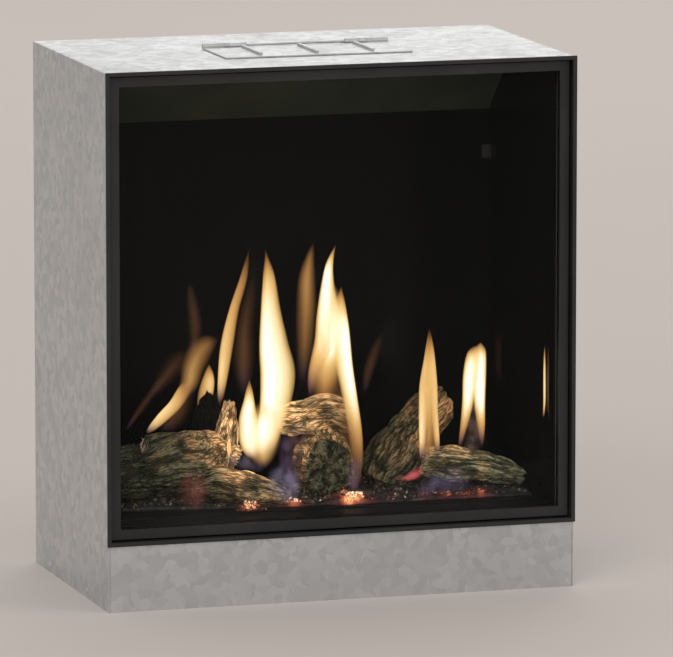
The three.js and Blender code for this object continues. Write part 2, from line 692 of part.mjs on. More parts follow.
// Burner: a ledge behind the window, a tray with rows of ports, and the venturi that feeds it
function burnerParts() {
  const ledgeLow = floorTop + fitGap;
  const ledgeTop = ledgeLow + ledgeHeight;
  piece('front_ledge', join(
    block([-linerFace + fitGap, fireFront + fitGap, ledgeTop - fireSheet],
      [linerFace - fitGap, traySetback - fitGap, ledgeTop]),
    block([-linerFace + fitGap, fireFront + fitGap, ledgeLow],
      [linerFace - fitGap, fireFront + fitGap + fireSheet, ledgeTop]),
  ), 'blackPaint');

  const ports = [];
  for (let row = 0; row < trayPortRows; row += 1) {
    for (let i = 0; i < trayPortCount; i += 1) {
      const x = trayHalfWidth * 1.8 * ((i + 0.5) / trayPortCount - 0.5);
      const y = traySetback + trayDepth * (row + 1) / (trayPortRows + 1);
      ports.push(block([x - trayPortLength / 2, y - trayPortWidth / 2, trayTop - fireSheet - overrun],
        [x + trayPortLength / 2, y + trayPortWidth / 2, trayTop + overrun]));
    }
  }
  piece('burner_tray', cut(
    block([-trayHalfWidth, traySetback, floorTop + fitGap], [trayHalfWidth, trayBack, trayTop]),
    block([-trayHalfWidth + fireSheet, traySetback + fireSheet, floorTop - overrun],
      [trayHalfWidth - fireSheet, trayBack - fireSheet, trayTop - fireSheet]),
    ...ports,
  ), 'blackPaint');

  const at = (z) => [0, venturiY, z];
  const bore = venturiRadius - venturiWall;
  const airWindows = [];
  const windowLow = venturiBaseHeight + airWindowRise;
  for (let i = 0; i < airWindowCount; i += 1) {
    const cutter = new THREE.BoxGeometry(airWindowWidth, venturiRadius * 2, airWindowHeight);
    cutter.translate(0, venturiRadius, windowLow + airWindowHeight / 2);
    cutter.rotateZ(i * Math.PI * 2 / airWindowCount);
    airWindows.push(solid(cutter.translate(0, venturiY, 0)));
  }
  const tubeTop = floorTop + venturiTopReach;
  const wall = cut(tube('z', at(venturiBaseHeight), tubeTop - venturiBaseHeight, venturiRadius, bore),
    ...airWindows);
  const base = tube('z', at(venturiBaseHeight), venturiWall, venturiBaseRadius, injectorNoseRadius + fitGap);
  const collar = tube('z', at(floorBottom - fitGap - caseSheet), caseSheet, venturiFlangeRadius, bore);
  piece('venturi_tube', join(wall, base, collar), 'steel');

  const shutterLow = venturiBaseHeight + venturiWall + fitGap;
  const shutterInner = venturiRadius + fitGap;
  const shutterOuter = shutterInner + shutterWall;
  const shutterCutters = [];
  for (let i = 0; i < airWindowCount; i += 1) {
    const cutter = new THREE.BoxGeometry(airWindowWidth, shutterOuter * 2, airWindowHeight * 0.8);
    cutter.translate(0, shutterOuter, windowLow + airWindowHeight / 2);
    cutter.rotateZ(i * Math.PI * 2 / airWindowCount);
    shutterCutters.push(solid(cutter.translate(0, venturiY, 0)));
  }
  const tab = block(
    [-shutterTabWidth / 2, venturiY - shutterOuter - shutterTabLength, shutterLow + shutterHeight * 0.4],
    [shutterTabWidth / 2, venturiY - shutterInner - shutterWall / 2, shutterLow + shutterHeight * 0.5],
  );
  piece('air_shutter', join(
    cut(tube('z', at(shutterLow), shutterHeight, shutterOuter, shutterInner), ...shutterCutters), tab,
  ), 'brass');

  const shoulder = venturiBaseHeight - fitGap;
  piece('injector', join(
    rod('z', at(injectorBase), shoulder - injectorBase, injectorRadius, nutSides),
    taper('z', at(shoulder - overrun), injectorNoseLength + overrun, injectorNoseRadius,
      injectorNoseRadius / 2, smallSides),
  ), 'brass');
}

// Ember bed: a low heap whose front edge runs forward from left to right, with a lumpy top
// Waves across and back over the bed's half width, the height as a share of the bed's, and the phase
const bedLumpShares = [[16.5, 10, 0.148, 9.5], [26.2, -20.2, 0.101, 6.5], [-10.9, 30.4, 0.086, 5.5]];

function bedPoint(across, back) {
  const x = bedHalfWidth * (across * 2 - 1);
  const bow = Math.sin(across * Math.PI * 3) * bedSetbackRight;
  const front = traySetback + bedSetbackLeft * (1 - across) ** 2 + bedSetbackRight + bow / 2;
  const rear = trayBack - bedBackMargin;
  return [x, front + (rear - front) * back];
}

function bedTop(across, back) {
  const [x, y] = bedPoint(across, back);
  const lump = bedLumpShares.reduce((sum, [u, v, size, phase]) => (
    sum + size * Math.sin((u * x + v * y) / bedHalfWidth + phase)), 0);
  const rise = 0.45 + 0.75 * Math.sqrt(Math.min(1, back * 2)) * (1 - 0.3 * across);
  return bedBottom + bedHeight * (rise + lump);
}

function emberBed(grow) {
  const positions = [];
  const index = [];
  const columns = bedCellsAcross + 1;
  const rows = bedCellsBack + 1;
  for (const layer of [0, 1]) {
    for (let j = 0; j < rows; j += 1) {
      for (let i = 0; i < columns; i += 1) {
        const [across, back] = [i / bedCellsAcross, j / bedCellsBack];
        const [x, y] = bedPoint(across, back);
        const edge = i === 0 || j === 0 || i === columns - 1 || j === rows - 1;
        const top = edge ? bedBottom + bedHeight * 0.3 : bedTop(across, back);
        positions.push(x, y, layer ? top + grow : bedBottom - grow);
      }
    }
  }
  const id = (layer, i, j) => layer * columns * rows + j * columns + i;
  const quad = (a, b, c, d) => index.push(a, b, c, a, c, d);
  for (let j = 0; j < bedCellsBack; j += 1) {
    for (let i = 0; i < bedCellsAcross; i += 1) {
      quad(id(1, i, j), id(1, i + 1, j), id(1, i + 1, j + 1), id(1, i, j + 1));
      quad(id(0, i, j), id(0, i, j + 1), id(0, i + 1, j + 1), id(0, i + 1, j));
    }
  }
  for (let i = 0; i < bedCellsAcross; i += 1) {
    quad(id(0, i, 0), id(0, i + 1, 0), id(1, i + 1, 0), id(1, i, 0));
    quad(id(0, i + 1, rows - 1), id(0, i, rows - 1), id(1, i, rows - 1), id(1, i + 1, rows - 1));
  }
  for (let j = 0; j < bedCellsBack; j += 1) {
    quad(id(0, 0, j + 1), id(0, 0, j), id(1, 0, j), id(1, 0, j + 1));
    quad(id(0, columns - 1, j), id(0, columns - 1, j + 1), id(1, columns - 1, j + 1), id(1, columns - 1, j));
  }
  const geometry = new THREE.BufferGeometry();
  geometry.setAttribute('position', new THREE.Float32BufferAttribute(positions, 3));
  geometry.setIndex(index);
  return solid(geometry);
}

// Logs. Each axis point is a share of the tray: across from its middle, back from its front edge, and up from
// its top as a share of the pile's height, with the radius there as a share of the pile's height too.
const logShares = {
  log_left: {
    axis: [[-0.99, 0.33, 0.28, 0.22], [-0.87, 0.34, 0.31, 0.25], [-0.73, 0.35, 0.35, 0.3],
      [-0.58, 0.38, 0.37, 0.29], [-0.43, 0.45, 0.44, 0.19]],
    widthShare: 1, lumpShare: 0.08, phase: 0.4, jagShare: 0.05,
  },
  log_centre: {
    axis: [[0.035, 0.115, 0.34, 0.285], [0.06, 0.35, 0.33, 0.3], [0.143, 0.76, 0.3, 0.27]],
    widthShare: 0.86, lumpShare: 0.07, phase: 2.1, jagShare: 0.02,
  },
  log_right_stump: {
    axis: [[0.37, 0.41, 0.1, 0.33], [0.44, 0.43, 0.33, 0.32], [0.54, 0.48, 0.58, 0.25],
      [0.63, 0.52, 0.79, 0.19]],
    widthShare: 1, lumpShare: 0.1, phase: 3.3, jagShare: 0.12,
  },
  log_front_left: {
    axis: [[-0.56, 0.2, 0.24, 0.14], [-0.46, 0.16, 0.23, 0.16], [-0.33, 0.12, 0.17, 0.14],
      [-0.18, 0.1, 0.1, 0.09]],
    widthShare: 1, lumpShare: 0.08, phase: 5.2, jagShare: 0.04,
  },
  log_bridge: {
    axis: [[-0.1, 0.48, 0.68, 0.15], [0, 0.45, 0.73, 0.17], [0.1, 0.4, 0.75, 0.19],
      [0.19, 0.35, 0.7, 0.17]],
    widthShare: 1, lumpShare: 0.09, phase: 1.2, jagShare: 0.05,
  },
  log_right_front: {
    axis: [[0.53, 0.24, 0.34, 0.14], [0.65, 0.2, 0.31, 0.16], [0.8, 0.15, 0.22, 0.12],
      [0.975, 0.09, 0.13, 0.07]],
    widthShare: 1, lumpShare: 0.07, phase: 4.4, jagShare: 0.03,
  },
  log_branch: {
    axis: [[-0.4, 0.46, 0.3, 0.14], [-0.38, 0.46, 0.5, 0.13], [-0.365, 0.47, 0.68, 0.1],
      [-0.355, 0.48, 0.82, 0.08]],
    widthShare: 1, lumpShare: 0.06, phase: 6.1, jagShare: 0.04,
  },
  log_charred: {
    axis: [[-0.44, 0.72, 0.03, 0.16], [-0.43, 0.71, 0.35, 0.15], [-0.41, 0.7, 0.7, 0.14],
      [-0.4, 0.7, 0.85, 0.09]],
    widthShare: 1, lumpShare: 0.08, phase: 0.9, jagShare: 0.04,
  },
};

function logSolid({ axis, widthShare, lumpShare, phase, jagShare }, grow) {
  const centres = axis.map(([across, back, up]) => new THREE.Vector3(
    across * trayHalfWidth, traySetback + back * trayDepth, trayTop + up * pileHeight));
  const curve = new THREE.CatmullRomCurve3(centres);
  const radiusAt = (share) => {
    const place = share * (axis.length - 1);
    const i = Math.min(Math.floor(place), axis.length - 2);
    return THREE.MathUtils.lerp(axis[i][3], axis[i + 1][3], place - i) * pileHeight;
  };
  const positions = [];
  const index = [];
  const side = new THREE.Vector3();
  const rise = new THREE.Vector3();
  const first = curve.getTangent(0);
  const last = curve.getTangent(1);
  const steady = Math.abs(first.z) > 0.7 ? new THREE.Vector3(0, 1, 0) : new THREE.Vector3(0, 0, 1);
  for (let ring = 0; ring < logRings; ring += 1) {
    const share = ring / (logRings - 1);
    const centre = curve.getPoint(share);
    const along = curve.getTangent(share);
    side.crossVectors(along, steady).normalize();
    rise.crossVectors(side, along).normalize();
    const atEnd = ring === 0 ? -1 : Number(ring === logRings - 1);
    for (let i = 0; i < logSegments; i += 1) {
      const angle = i / logSegments * Math.PI * 2;
      const bump = Math.sin(angle * 3 + share * 5 + phase) * 0.6
        + Math.sin(angle * 5 - share * 9 + phase * 2) * 0.4 + Math.sin(share * 11 + phase) * 0.4;
      const radius = radiusAt(share) * (1 + lumpShare * bump) * (atEnd ? 0.9 : 1) + grow;
      const slip = atEnd * (jagShare * pileHeight * Math.sin(angle * 2 + phase) * 0.5 + grow);
      const point = centre.clone()
        .addScaledVector(side, Math.cos(angle) * radius * widthShare)
        .addScaledVector(rise, Math.sin(angle) * radius)
        .addScaledVector(along, slip);
      positions.push(point.x, point.y, point.z);
    }
  }
  for (let ring = 0; ring < logRings - 1; ring += 1) {
    for (let i = 0; i < logSegments; i += 1) {
      const next = (i + 1) % logSegments;
      const [a, b] = [ring * logSegments + i, ring * logSegments + next];
      index.push(a, b, b + logSegments, a, b + logSegments, a + logSegments);
    }
  }
  const ends = [[curve.getPoint(0).addScaledVector(first, -grow), 0],
    [curve.getPoint(1).addScaledVector(last, grow), 1]];
  for (const [centre, end] of ends) {
    const middle = positions.length / 3;
    positions.push(centre.x, centre.y, centre.z);
    const ring = end * (logRings - 1) * logSegments;
    for (let i = 0; i < logSegments; i += 1) {
      const [a, b] = [ring + i, ring + (i + 1) % logSegments];
      if (end) index.push(middle, a, b);
      else index.push(middle, b, a);
    }
  }
  const geometry = new THREE.BufferGeometry();
  geometry.setAttribute('position', new THREE.Float32BufferAttribute(positions, 3));
  geometry.setIndex(index);
  return solid(geometry);
}

// The largest body of a cut piece, without the slivers that a cut leaves beside it
function largest(body) {
  const bodies = body.decompose();
  return bodies.reduce((best, other) => (other.volume() > best.volume() ? other : best));
}

function fuelBed() {
  const room = block([-linerFace + fitGap * 2, fireFront + fitGap * 2, floorTop],
    [linerFace - fitGap * 2, backLinerFront - fitGap, ceiling]);
  piece('ember_bed', emberBed(0).intersect(room), 'ember');
  const taken = [emberBed(fitGap)];
  for (const [name, shares] of Object.entries(logShares)) {
    const body = largest(cut(logSolid(shares, 0).intersect(room), ...taken));
    piece(name, body, name === 'log_charred' ? 'charred' : 'bark');
    taken.push(logSolid(shares, fitGap));
  }
}

// Gas valve in the chamber, with a flow knob, an on-off knob and an igniter button on its front
const valveFront = valveY - valveDepth / 2;
const valveRear = valveY + valveDepth / 2;
const valveLow = valveStand + fitGap;
const controlZ = valveLow + valveHeight * 0.55;
const flowKnobX = valveX + flowKnobOffset;
const manualKnobX = valveX + manualKnobOffset;
const igniterX = valveX + igniterOffset;

function knob(x, radius, depth) {
  const rear = valveFront - knobGap;
  const grip = taper('y', [x, rear - depth, controlZ], depth, radius * 0.9, radius);
  const flutes = [];
  for (let i = 0; i < knobRibCount; i += 1) {
    const angle = (i + 0.5) * Math.PI * 2 / knobRibCount;
    const reach = radius + knobRib * 0.3;
    flutes.push(rod('y', [x + Math.cos(angle) * reach, rear - depth - overrun,
      controlZ + Math.sin(angle) * reach], depth * 0.75 + overrun, knobRib, nutSides));
  }
  const pointer = block([x - knobRib / 2, rear - depth - knobRib / 2, controlZ],
    [x + knobRib / 2, rear - depth + knobRib, controlZ + radius * 0.8]);
  const spindle = rod('y', [x, rear - knobRib, controlZ], spindleDepth + knobRib, spindleRadius, smallSides);
  return join(cut(grip, ...flutes), pointer, spindle);
}

function valveParts() {
  const half = valveWidth / 2;
  const top = valveLow + valveHeight;
  const spindleBore = (x, radius, depth) =>
    rod('y', [x, valveFront - overrun, controlZ], depth + overrun, radius, smallSides);
  const bosses = [
    rod('x', [valveX + half - overrun, valveY, supplyHeight + fitGap], overrun + nutLength / 2, nutRadius,
      nutSides),
    rod('z', [valveX - half * 0.5, valveY, top - overrun], solenoidHeight + overrun, solenoidRadius,
      largeSides),
    rod('z', [valveX + half * 0.2, valveY, top - overrun], solenoidHeight * 0.6 + overrun,
      solenoidRadius * 0.7, nutSides),
  ];
  const body = join(block([valveX - half, valveFront, valveLow], [valveX + half, valveRear, top]), ...bosses);
  piece('gas_valve', cut(body,
    spindleBore(flowKnobX, spindleRadius + fitGap, spindleDepth + fitGap * 2),
    spindleBore(manualKnobX, spindleRadius + fitGap, spindleDepth + fitGap * 2),
    spindleBore(igniterX, igniterRadius * 0.6 + fitGap, spindleDepth + igniterTravel),
  ), 'castAlloy');
  piece('flow_knob', knob(flowKnobX, flowKnobRadius, flowKnobDepth), 'blackPlastic');
  piece('manual_knob', knob(manualKnobX, manualKnobRadius, manualKnobDepth), 'blackPlastic');
  const buttonRear = valveFront - knobGap - igniterTravel;
  piece('igniter_button', join(
    taper('y', [igniterX, buttonRear - igniterDepth, controlZ], igniterDepth, igniterRadius * 0.85,
      igniterRadius, largeSides),
    rod('y', [igniterX, buttonRear - overrun, controlZ], spindleDepth + overrun, igniterRadius * 0.6,
      smallSides),
  ), 'redPlastic');

  const standHalf = half * 0.9;
  piece('valve_bracket', join(
    block([valveX - standHalf, valveFront + fitGap, valveStand - caseSheet],
      [valveX + standHalf, valveRear - fitGap, valveStand]),
    ...sides.map((side) => {
      const [x0, x1] = ordered(valveX + side * standHalf, valveX + side * (standHalf - caseSheet));
      return block([x0, valveFront + fitGap, baseTop], [x1, valveRear - fitGap, valveStand]);
    }),
  ), 'galvanised');
}

// Tap at the inlet, pipes to the valve and burner, and the cable from the receiver
const tapFront = caseDepth - tapInset - tapLength;
const tapMiddle = tapFront + tapLength * 0.4;
const leverLow = supplyHeight + tapRadius + tapStemHeight;

function pipeParts() {
  const ball = rod('y', [supplyX, tapFront + nutLength, supplyHeight], tapLength - nutLength * 2, tapRadius,
    smallSides);
  const ends = [tapFront, tapFront + tapLength - nutLength].map((y) =>
    rod('y', [supplyX, y, supplyHeight], nutLength, nutRadius * 1.2, nutSides));
  const inletBore = rod('y', [supplyX, tapFront + tapLength - nutLength, supplyHeight], nutLength + overrun,
    gasPipeRadius + fitGap, smallSides);
  const outletBore = rod('y', [supplyX, tapFront - overrun, supplyHeight], nutLength + overrun,
    gasPipeRadius + fitGap, smallSides);
  const neck = rod('z', [supplyX, tapMiddle, supplyHeight], tapRadius + tapStemHeight - fitGap,
    tapStemRadius * 1.5, smallSides);
  piece('gas_tap', cut(join(ball, ...ends, neck), inletBore, outletBore), 'brass');

  const hub = rod('z', [supplyX, tapMiddle, leverLow], tapLeverThickness * 1.6, tapLeverWidth * 0.7,
    smallSides);
  piece('tap_lever', join(hub,
    block([supplyX - tapLeverWidth / 2, tapMiddle - tapLeverLength, leverLow],
      [supplyX + tapLeverWidth / 2, tapMiddle, leverLow + tapLeverThickness])), 'steel');

  const valveSide = valveX + valveWidth / 2 + nutLength / 2;
  piece('supply_pipe', pipe([
    [supplyX, tapFront + nutLength - overrun, supplyHeight],
    [supplyX, supplyY, supplyHeight],
    [supplyDropX, supplyY, supplyHeight],
    [supplyDropX, valveY, supplyHeight + fitGap],
    [valveSide + fitGap, valveY, supplyHeight + fitGap],
  ], gasPipeRadius), 'copper');

  piece('burner_pipe', pipe([
    [valveX, valveRear + fitGap, valveLow + nutRadius],
    [valveX, venturiY, valveLow + nutRadius],
    [valveX + pipeBend * 2, venturiY, burnerPipeHeight],
    [-injectorRadius - fitGap, venturiY, burnerPipeHeight],
  ], gasPipeRadius), 'copper');
}

function receiverParts() {
  const half = receiverWidth / 2;
  const low = baseTop;
  const top = low + receiverHeight;
  const lidX = receiverX;
  const rails = sides.map((side) => {
    const edge = lidWidth / 2 + fitGap;
    const [a, b] = ordered(lidX + side * edge, lidX + side * (edge + lidRail));
    const [c, d] = ordered(lidX + side * (edge - lidLipOverlap), lidX + side * (edge + lidRail));
    const lipLow = top + lidThickness + fitGap * 2;
    return join(
      block([a, receiverY - lidLength / 2, top - overrun],
        [b, receiverY + lidLength / 2, lipLow + lidThickness / 2]),
      block([c, receiverY - lidLength / 2, lipLow],
        [d, receiverY + lidLength / 2, lipLow + lidThickness / 2]),
    );
  });
  const stop = block([lidX - lidWidth / 2, receiverY + lidLength / 2 + fitGap, top - overrun],
    [lidX + lidWidth / 2, receiverY + lidLength / 2 + fitGap + lidRail, top + lidThickness]);
  piece('receiver_box', join(block([receiverX - half, receiverY - receiverDepth / 2, low],
    [receiverX + half, receiverY + receiverDepth / 2, top]), ...rails, stop), 'blackPlastic');

  const grip = block([lidX - lidWidth / 4, receiverY - lidLength * 0.35, top + lidThickness],
    [lidX + lidWidth / 4, receiverY - lidLength * 0.35 + lidRail, top + lidThickness * 1.7]);
  piece('battery_lid', join(block([lidX - lidWidth / 2, receiverY - lidLength / 2, top + fitGap],
    [lidX + lidWidth / 2, receiverY + lidLength / 2, top + fitGap + lidThickness]), grip), 'blackPlastic');
}

// Pilot: a bracket over the hole in the floor, the burner, the spark electrode and the thermocouple
function pilotParts() {
  const pilotY = trayBack + pilotSetback;
  const plateLow = floorTop + fitGap;
  const plateTop = plateLow + pilotPlateThickness;
  const xs = [pilotX - pilotSpacing, pilotX, pilotX + pilotSpacing];
  const holes = [leadRadius, pilotPipeRadius, leadRadius].map((radius, i) =>
    rod('z', [xs[i], pilotY, plateLow - overrun], pilotPlateThickness + overrun * 2, radius + fitGap,
      smallSides));
  const size = pilotPlateSize / 2;
  const reach = Math.min(size, pilotSetback - fitGap * 2, backLinerFront - pilotY - fitGap * 2);
  piece('pilot_bracket', cut(join(
    block([pilotX - size, pilotY - reach, plateLow], [pilotX + size, pilotY + reach, plateTop]),
    block([pilotX - size, pilotY + reach - pilotPlateThickness, plateLow],
      [pilotX + size, pilotY + reach, plateTop + pilotRise * 0.6]),
  ), ...holes), 'steel');

  const tip = plateTop + pilotRise;
  const neckZ = plateTop + pilotRise * 0.5;
  piece('pilot_burner', join(
    rod('z', [pilotX, pilotY, plateTop + fitGap], pilotRise * 0.5, pilotHoodRadius * 0.8, smallSides),
    taper('z', [pilotX, pilotY, neckZ], tip - neckZ, pilotHoodRadius, pilotHoodRadius * 0.7, smallSides),
  ), 'brass');

  const rearExit = (x) => [x, valveRear + fitGap];
  const lineUp = (start, z, x, y, end, radius) => pipe([
    [...start, z], [start[0], y, z], [x, y, z], [x, y, end],
  ], radius, pipeBend / 2);
  const laneZ = valveLow + valveHeight - pilotPipeRadius * 2;
  piece('pilot_pipe', lineUp(rearExit(valveX + valveWidth * 0.25), laneZ, pilotX, pilotY,
    plateTop, pilotPipeRadius), 'copper');

  const electrodeX = xs[2];
  piece('spark_electrode', join(
    rod('z', [electrodeX, pilotY, plateTop + fitGap], pilotRise * 0.6, probeRadius * 1.3, smallSides),
    rod('z', [electrodeX, pilotY, plateTop], pilotRise, probeRadius * 0.4, smallSides),
    rod('z', [electrodeX, pilotY, floorBottom - pilotRise], pilotRise + plateTop + fitGap * 2 - floorBottom,
      leadRadius, smallSides),
  ), 'ceramic');
  piece('thermocouple', join(
    taper('z', [xs[0], pilotY, plateTop + fitGap], pilotRise * 0.9, probeRadius, probeRadius * 0.7,
      smallSides),
    lineUp(rearExit(valveX + valveWidth * 0.08), laneZ + pilotPipeRadius * 3, xs[0], pilotY,
      plateTop + fitGap * 2, leadRadius),
  ), 'copper');
}

// Flue: a shallow box behind the firebox, the inner pipe that leaves it, and the air collar round that pipe
function flueParts() {
  const boxFront = fireBackRear + fitGap;
  const boxBack = backFront - caseSheet - fitGap * 2;
  const boxHalf = fluePlateWidth / 2 + flueBoxMargin;
  const boxTop = ceiling - flueBoxDrop;
  const boxBottom = flueHeight - innerPipeRadius - flueBoxDrop;
  piece('flue_box', cut(
    block([-boxHalf, boxFront, boxBottom], [boxHalf, boxBack, boxTop]),
    block([-boxHalf + fireSheet, boxFront - overrun, boxBottom + fireSheet],
      [boxHalf - fireSheet, boxBack - fireSheet, boxTop - fireSheet]),
    rod('y', [0, boxFront - overrun, flueHeight], caseDepth, innerPipeRadius + fitGap, pipeSegments),
  ), 'galvanised');

  const innerStart = boxBack - fireSheet * 4;
  const innerEnd = caseDepth + innerPipeReach;
  const spacers = [];
  for (let i = 0; i < 3; i += 1) {
    const outer = (outerPipeRadius - pipeWall) * Math.cos(Math.PI / pipeSegments) - fitGap;
    const inner = innerPipeRadius - pipeWall / 2;
    const bar = new THREE.BoxGeometry(spacerWidth, spacerLength, outer - inner);
    bar.translate(0, caseDepth + collarReach / 2, (inner + outer) / 2);
    bar.rotateY(i * Math.PI * 2 / 3);
    spacers.push(solid(bar.translate(0, 0, flueHeight)));
  }
  piece('flue_inner_pipe', cut(
    join(rod('y', [0, innerStart, flueHeight], innerEnd - innerStart, innerPipeRadius, pipeSegments),
      ...spacers),
    rod('y', [0, innerStart - overrun, flueHeight], innerEnd - innerStart + overrun * 2,
      innerPipeRadius - pipeWall, pipeSegments),
  ), 'steel');

  const collarFront = caseDepth + fitGap;
  const collarRing = tube('y', [0, collarFront, flueHeight], caseSheet, collarFlangeRadius,
    outerPipeRadius - pipeWall, pipeSegments);
  const collarTube = tube('y', [0, collarFront, flueHeight], collarReach - fitGap, outerPipeRadius,
    outerPipeRadius - pipeWall, pipeSegments);
  const heads = collarScrews.map((at) => screw('y', at, 1, screwHeadHeight));
  piece('flue_collar', join(collarRing, collarTube, ...heads), 'galvanised');
}

caseParts();
edgeFrame();
windowParts();
fireboxParts();
reliefParts();
burnerParts();
fuelBed();
valveParts();
pipeParts();
receiverParts();
pilotParts();
flueParts();

export default fire;
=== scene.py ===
from functools import wraps
from itertools import product
import math

import bpy
import numpy as np
from bpy.props import FloatProperty, FloatVectorProperty, IntProperty, PointerProperty
from bpy.types import NodeSocket, Operator, Panel, PropertyGroup
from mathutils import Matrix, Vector


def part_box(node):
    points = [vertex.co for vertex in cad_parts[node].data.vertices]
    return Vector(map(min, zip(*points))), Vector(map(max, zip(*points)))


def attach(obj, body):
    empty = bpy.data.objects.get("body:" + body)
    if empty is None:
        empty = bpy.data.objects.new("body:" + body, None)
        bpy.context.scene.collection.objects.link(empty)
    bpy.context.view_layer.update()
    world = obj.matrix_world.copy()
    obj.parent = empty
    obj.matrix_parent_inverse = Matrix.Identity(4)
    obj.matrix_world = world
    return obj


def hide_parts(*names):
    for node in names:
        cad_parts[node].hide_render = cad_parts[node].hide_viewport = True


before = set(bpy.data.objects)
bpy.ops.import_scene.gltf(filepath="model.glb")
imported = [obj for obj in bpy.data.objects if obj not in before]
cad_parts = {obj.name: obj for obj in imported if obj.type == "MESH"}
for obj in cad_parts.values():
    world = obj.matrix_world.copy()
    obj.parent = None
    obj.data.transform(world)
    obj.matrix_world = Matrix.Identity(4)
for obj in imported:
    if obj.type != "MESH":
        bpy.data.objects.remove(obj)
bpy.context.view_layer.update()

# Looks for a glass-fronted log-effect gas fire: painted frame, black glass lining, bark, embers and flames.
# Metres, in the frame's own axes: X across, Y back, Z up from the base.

bl_info = {
    "name": "Log-effect gas fire",
    "version": (1, 0, 0),
    "blender": (4, 5, 0),
    "location": "3D View > Sidebar > Gas fire",
    "description": "Gives a glass-fronted log-effect gas fire its finishes, logs, embers and flames",
    "category": "Object",
}

MM = 0.001
TRAY_LOW, TRAY_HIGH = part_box("burner_tray")
BED_LOW, BED_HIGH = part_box("ember_bed")
LINER_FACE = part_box("liner_right")[0].x
FRAME_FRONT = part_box("edge_frame")[0].y

# How far the logs and the chips stay off the lining
LOG_GAP = 0.0006
CHIP_GAP = 0.001

# Where the cracks in a sawn end start, round it from its side
CRACK_ANGLES = (0.5, 1.5, 2.5, 3.6, 4.4, 5.4)

# Logs: axis points as shares of the tray's half width, of its depth and of the pile's height above the tray,
# with the radius as a share of the pile's height, from one end of the log to the other. Pale is how much each
# end's tone is raised, partly the paint's own tone and partly painted firelight, brighter at ends near the
# flames; torn is a step's place across and its height, and spacing the bark's fineness, with what a log has
# that doesn't name its own.
LOG_PLAIN = {"width": 1.0, "sawn": 0.0, "pale": (1.0, 1.0), "spacing": 1.0, "torn": None}
LOG_SHARES = {
    "log_left": {
        "axis": ((-0.99, 0.33, 0.28, 0.22), (-0.87, 0.34, 0.31, 0.25), (-0.73, 0.35, 0.35, 0.3),
                 (-0.58, 0.38, 0.37, 0.29), (-0.45, 0.45, 0.42, 0.2), (-0.34, 0.48, 0.39, 0.14)),
        "lumps": 0.08, "phase": 0.4, "jag": 0.05, "torn": (-0.785, 0.54), "pale": (0.95, 1.5),
    },
    "log_centre": {
        "axis": ((0.035, 0.115, 0.34, 0.285), (0.06, 0.35, 0.33, 0.3), (0.143, 0.76, 0.3, 0.27)),
        "width": 0.86, "lumps": 0.07, "phase": 2.1, "jag": 0.02, "sawn": 1.0, "pale": (1.25, 1.1),
    },
    "log_right_stump": {
        "axis": ((0.37, 0.41, 0.1, 0.33), (0.45, 0.43, 0.32, 0.3), (0.555, 0.48, 0.57, 0.22),
                 (0.655, 0.52, 0.78, 0.2)),
        "lumps": 0.1, "phase": 3.3, "jag": 0.12, "pale": (1.1, 0.6), "spacing": 0.68,
    },
    "log_front_left": {
        "axis": ((-0.56, 0.2, 0.24, 0.14), (-0.46, 0.16, 0.23, 0.16), (-0.33, 0.12, 0.17, 0.14),
                 (-0.18, 0.1, 0.1, 0.09)),
        "lumps": 0.08, "phase": 5.2, "jag": 0.04, "pale": (1.45, 1.35),
    },
    "log_bridge": {
        "axis": ((-0.1, 0.48, 0.68, 0.15), (0, 0.45, 0.71, 0.165), (0.1, 0.4, 0.75, 0.185),
                 (0.19, 0.35, 0.7, 0.17)),
        "lumps": 0.09, "phase": 1.2, "jag": 0.05, "pale": (1.75, 0.7),
    },
    "log_right_front": {
        "axis": ((0.53, 0.24, 0.31, 0.15), (0.65, 0.2, 0.28, 0.165), (0.79, 0.15, 0.25, 0.14),
                 (0.925, 0.1, 0.17, 0.1)),
        "lumps": 0.07, "phase": 4.4, "jag": 0.03, "pale": (2.0, 3.6),
    },
    "log_branch": {
        "axis": ((-0.4, 0.46, 0.3, 0.14), (-0.38, 0.46, 0.5, 0.13), (-0.365, 0.47, 0.68, 0.1),
                 (-0.355, 0.48, 0.82, 0.08)),
        "lumps": 0.06, "phase": 6.1, "jag": 0.04, "pale": (1.6, 1.4),
    },
    "log_charred": {
        "axis": ((-0.44, 0.72, 0.03, 0.16), (-0.43, 0.71, 0.35, 0.15), (-0.41, 0.7, 0.7, 0.14),
                 (-0.4, 0.7, 0.85, 0.09)),
        "lumps": 0.08, "phase": 0.9, "jag": 0.04,
    },
}

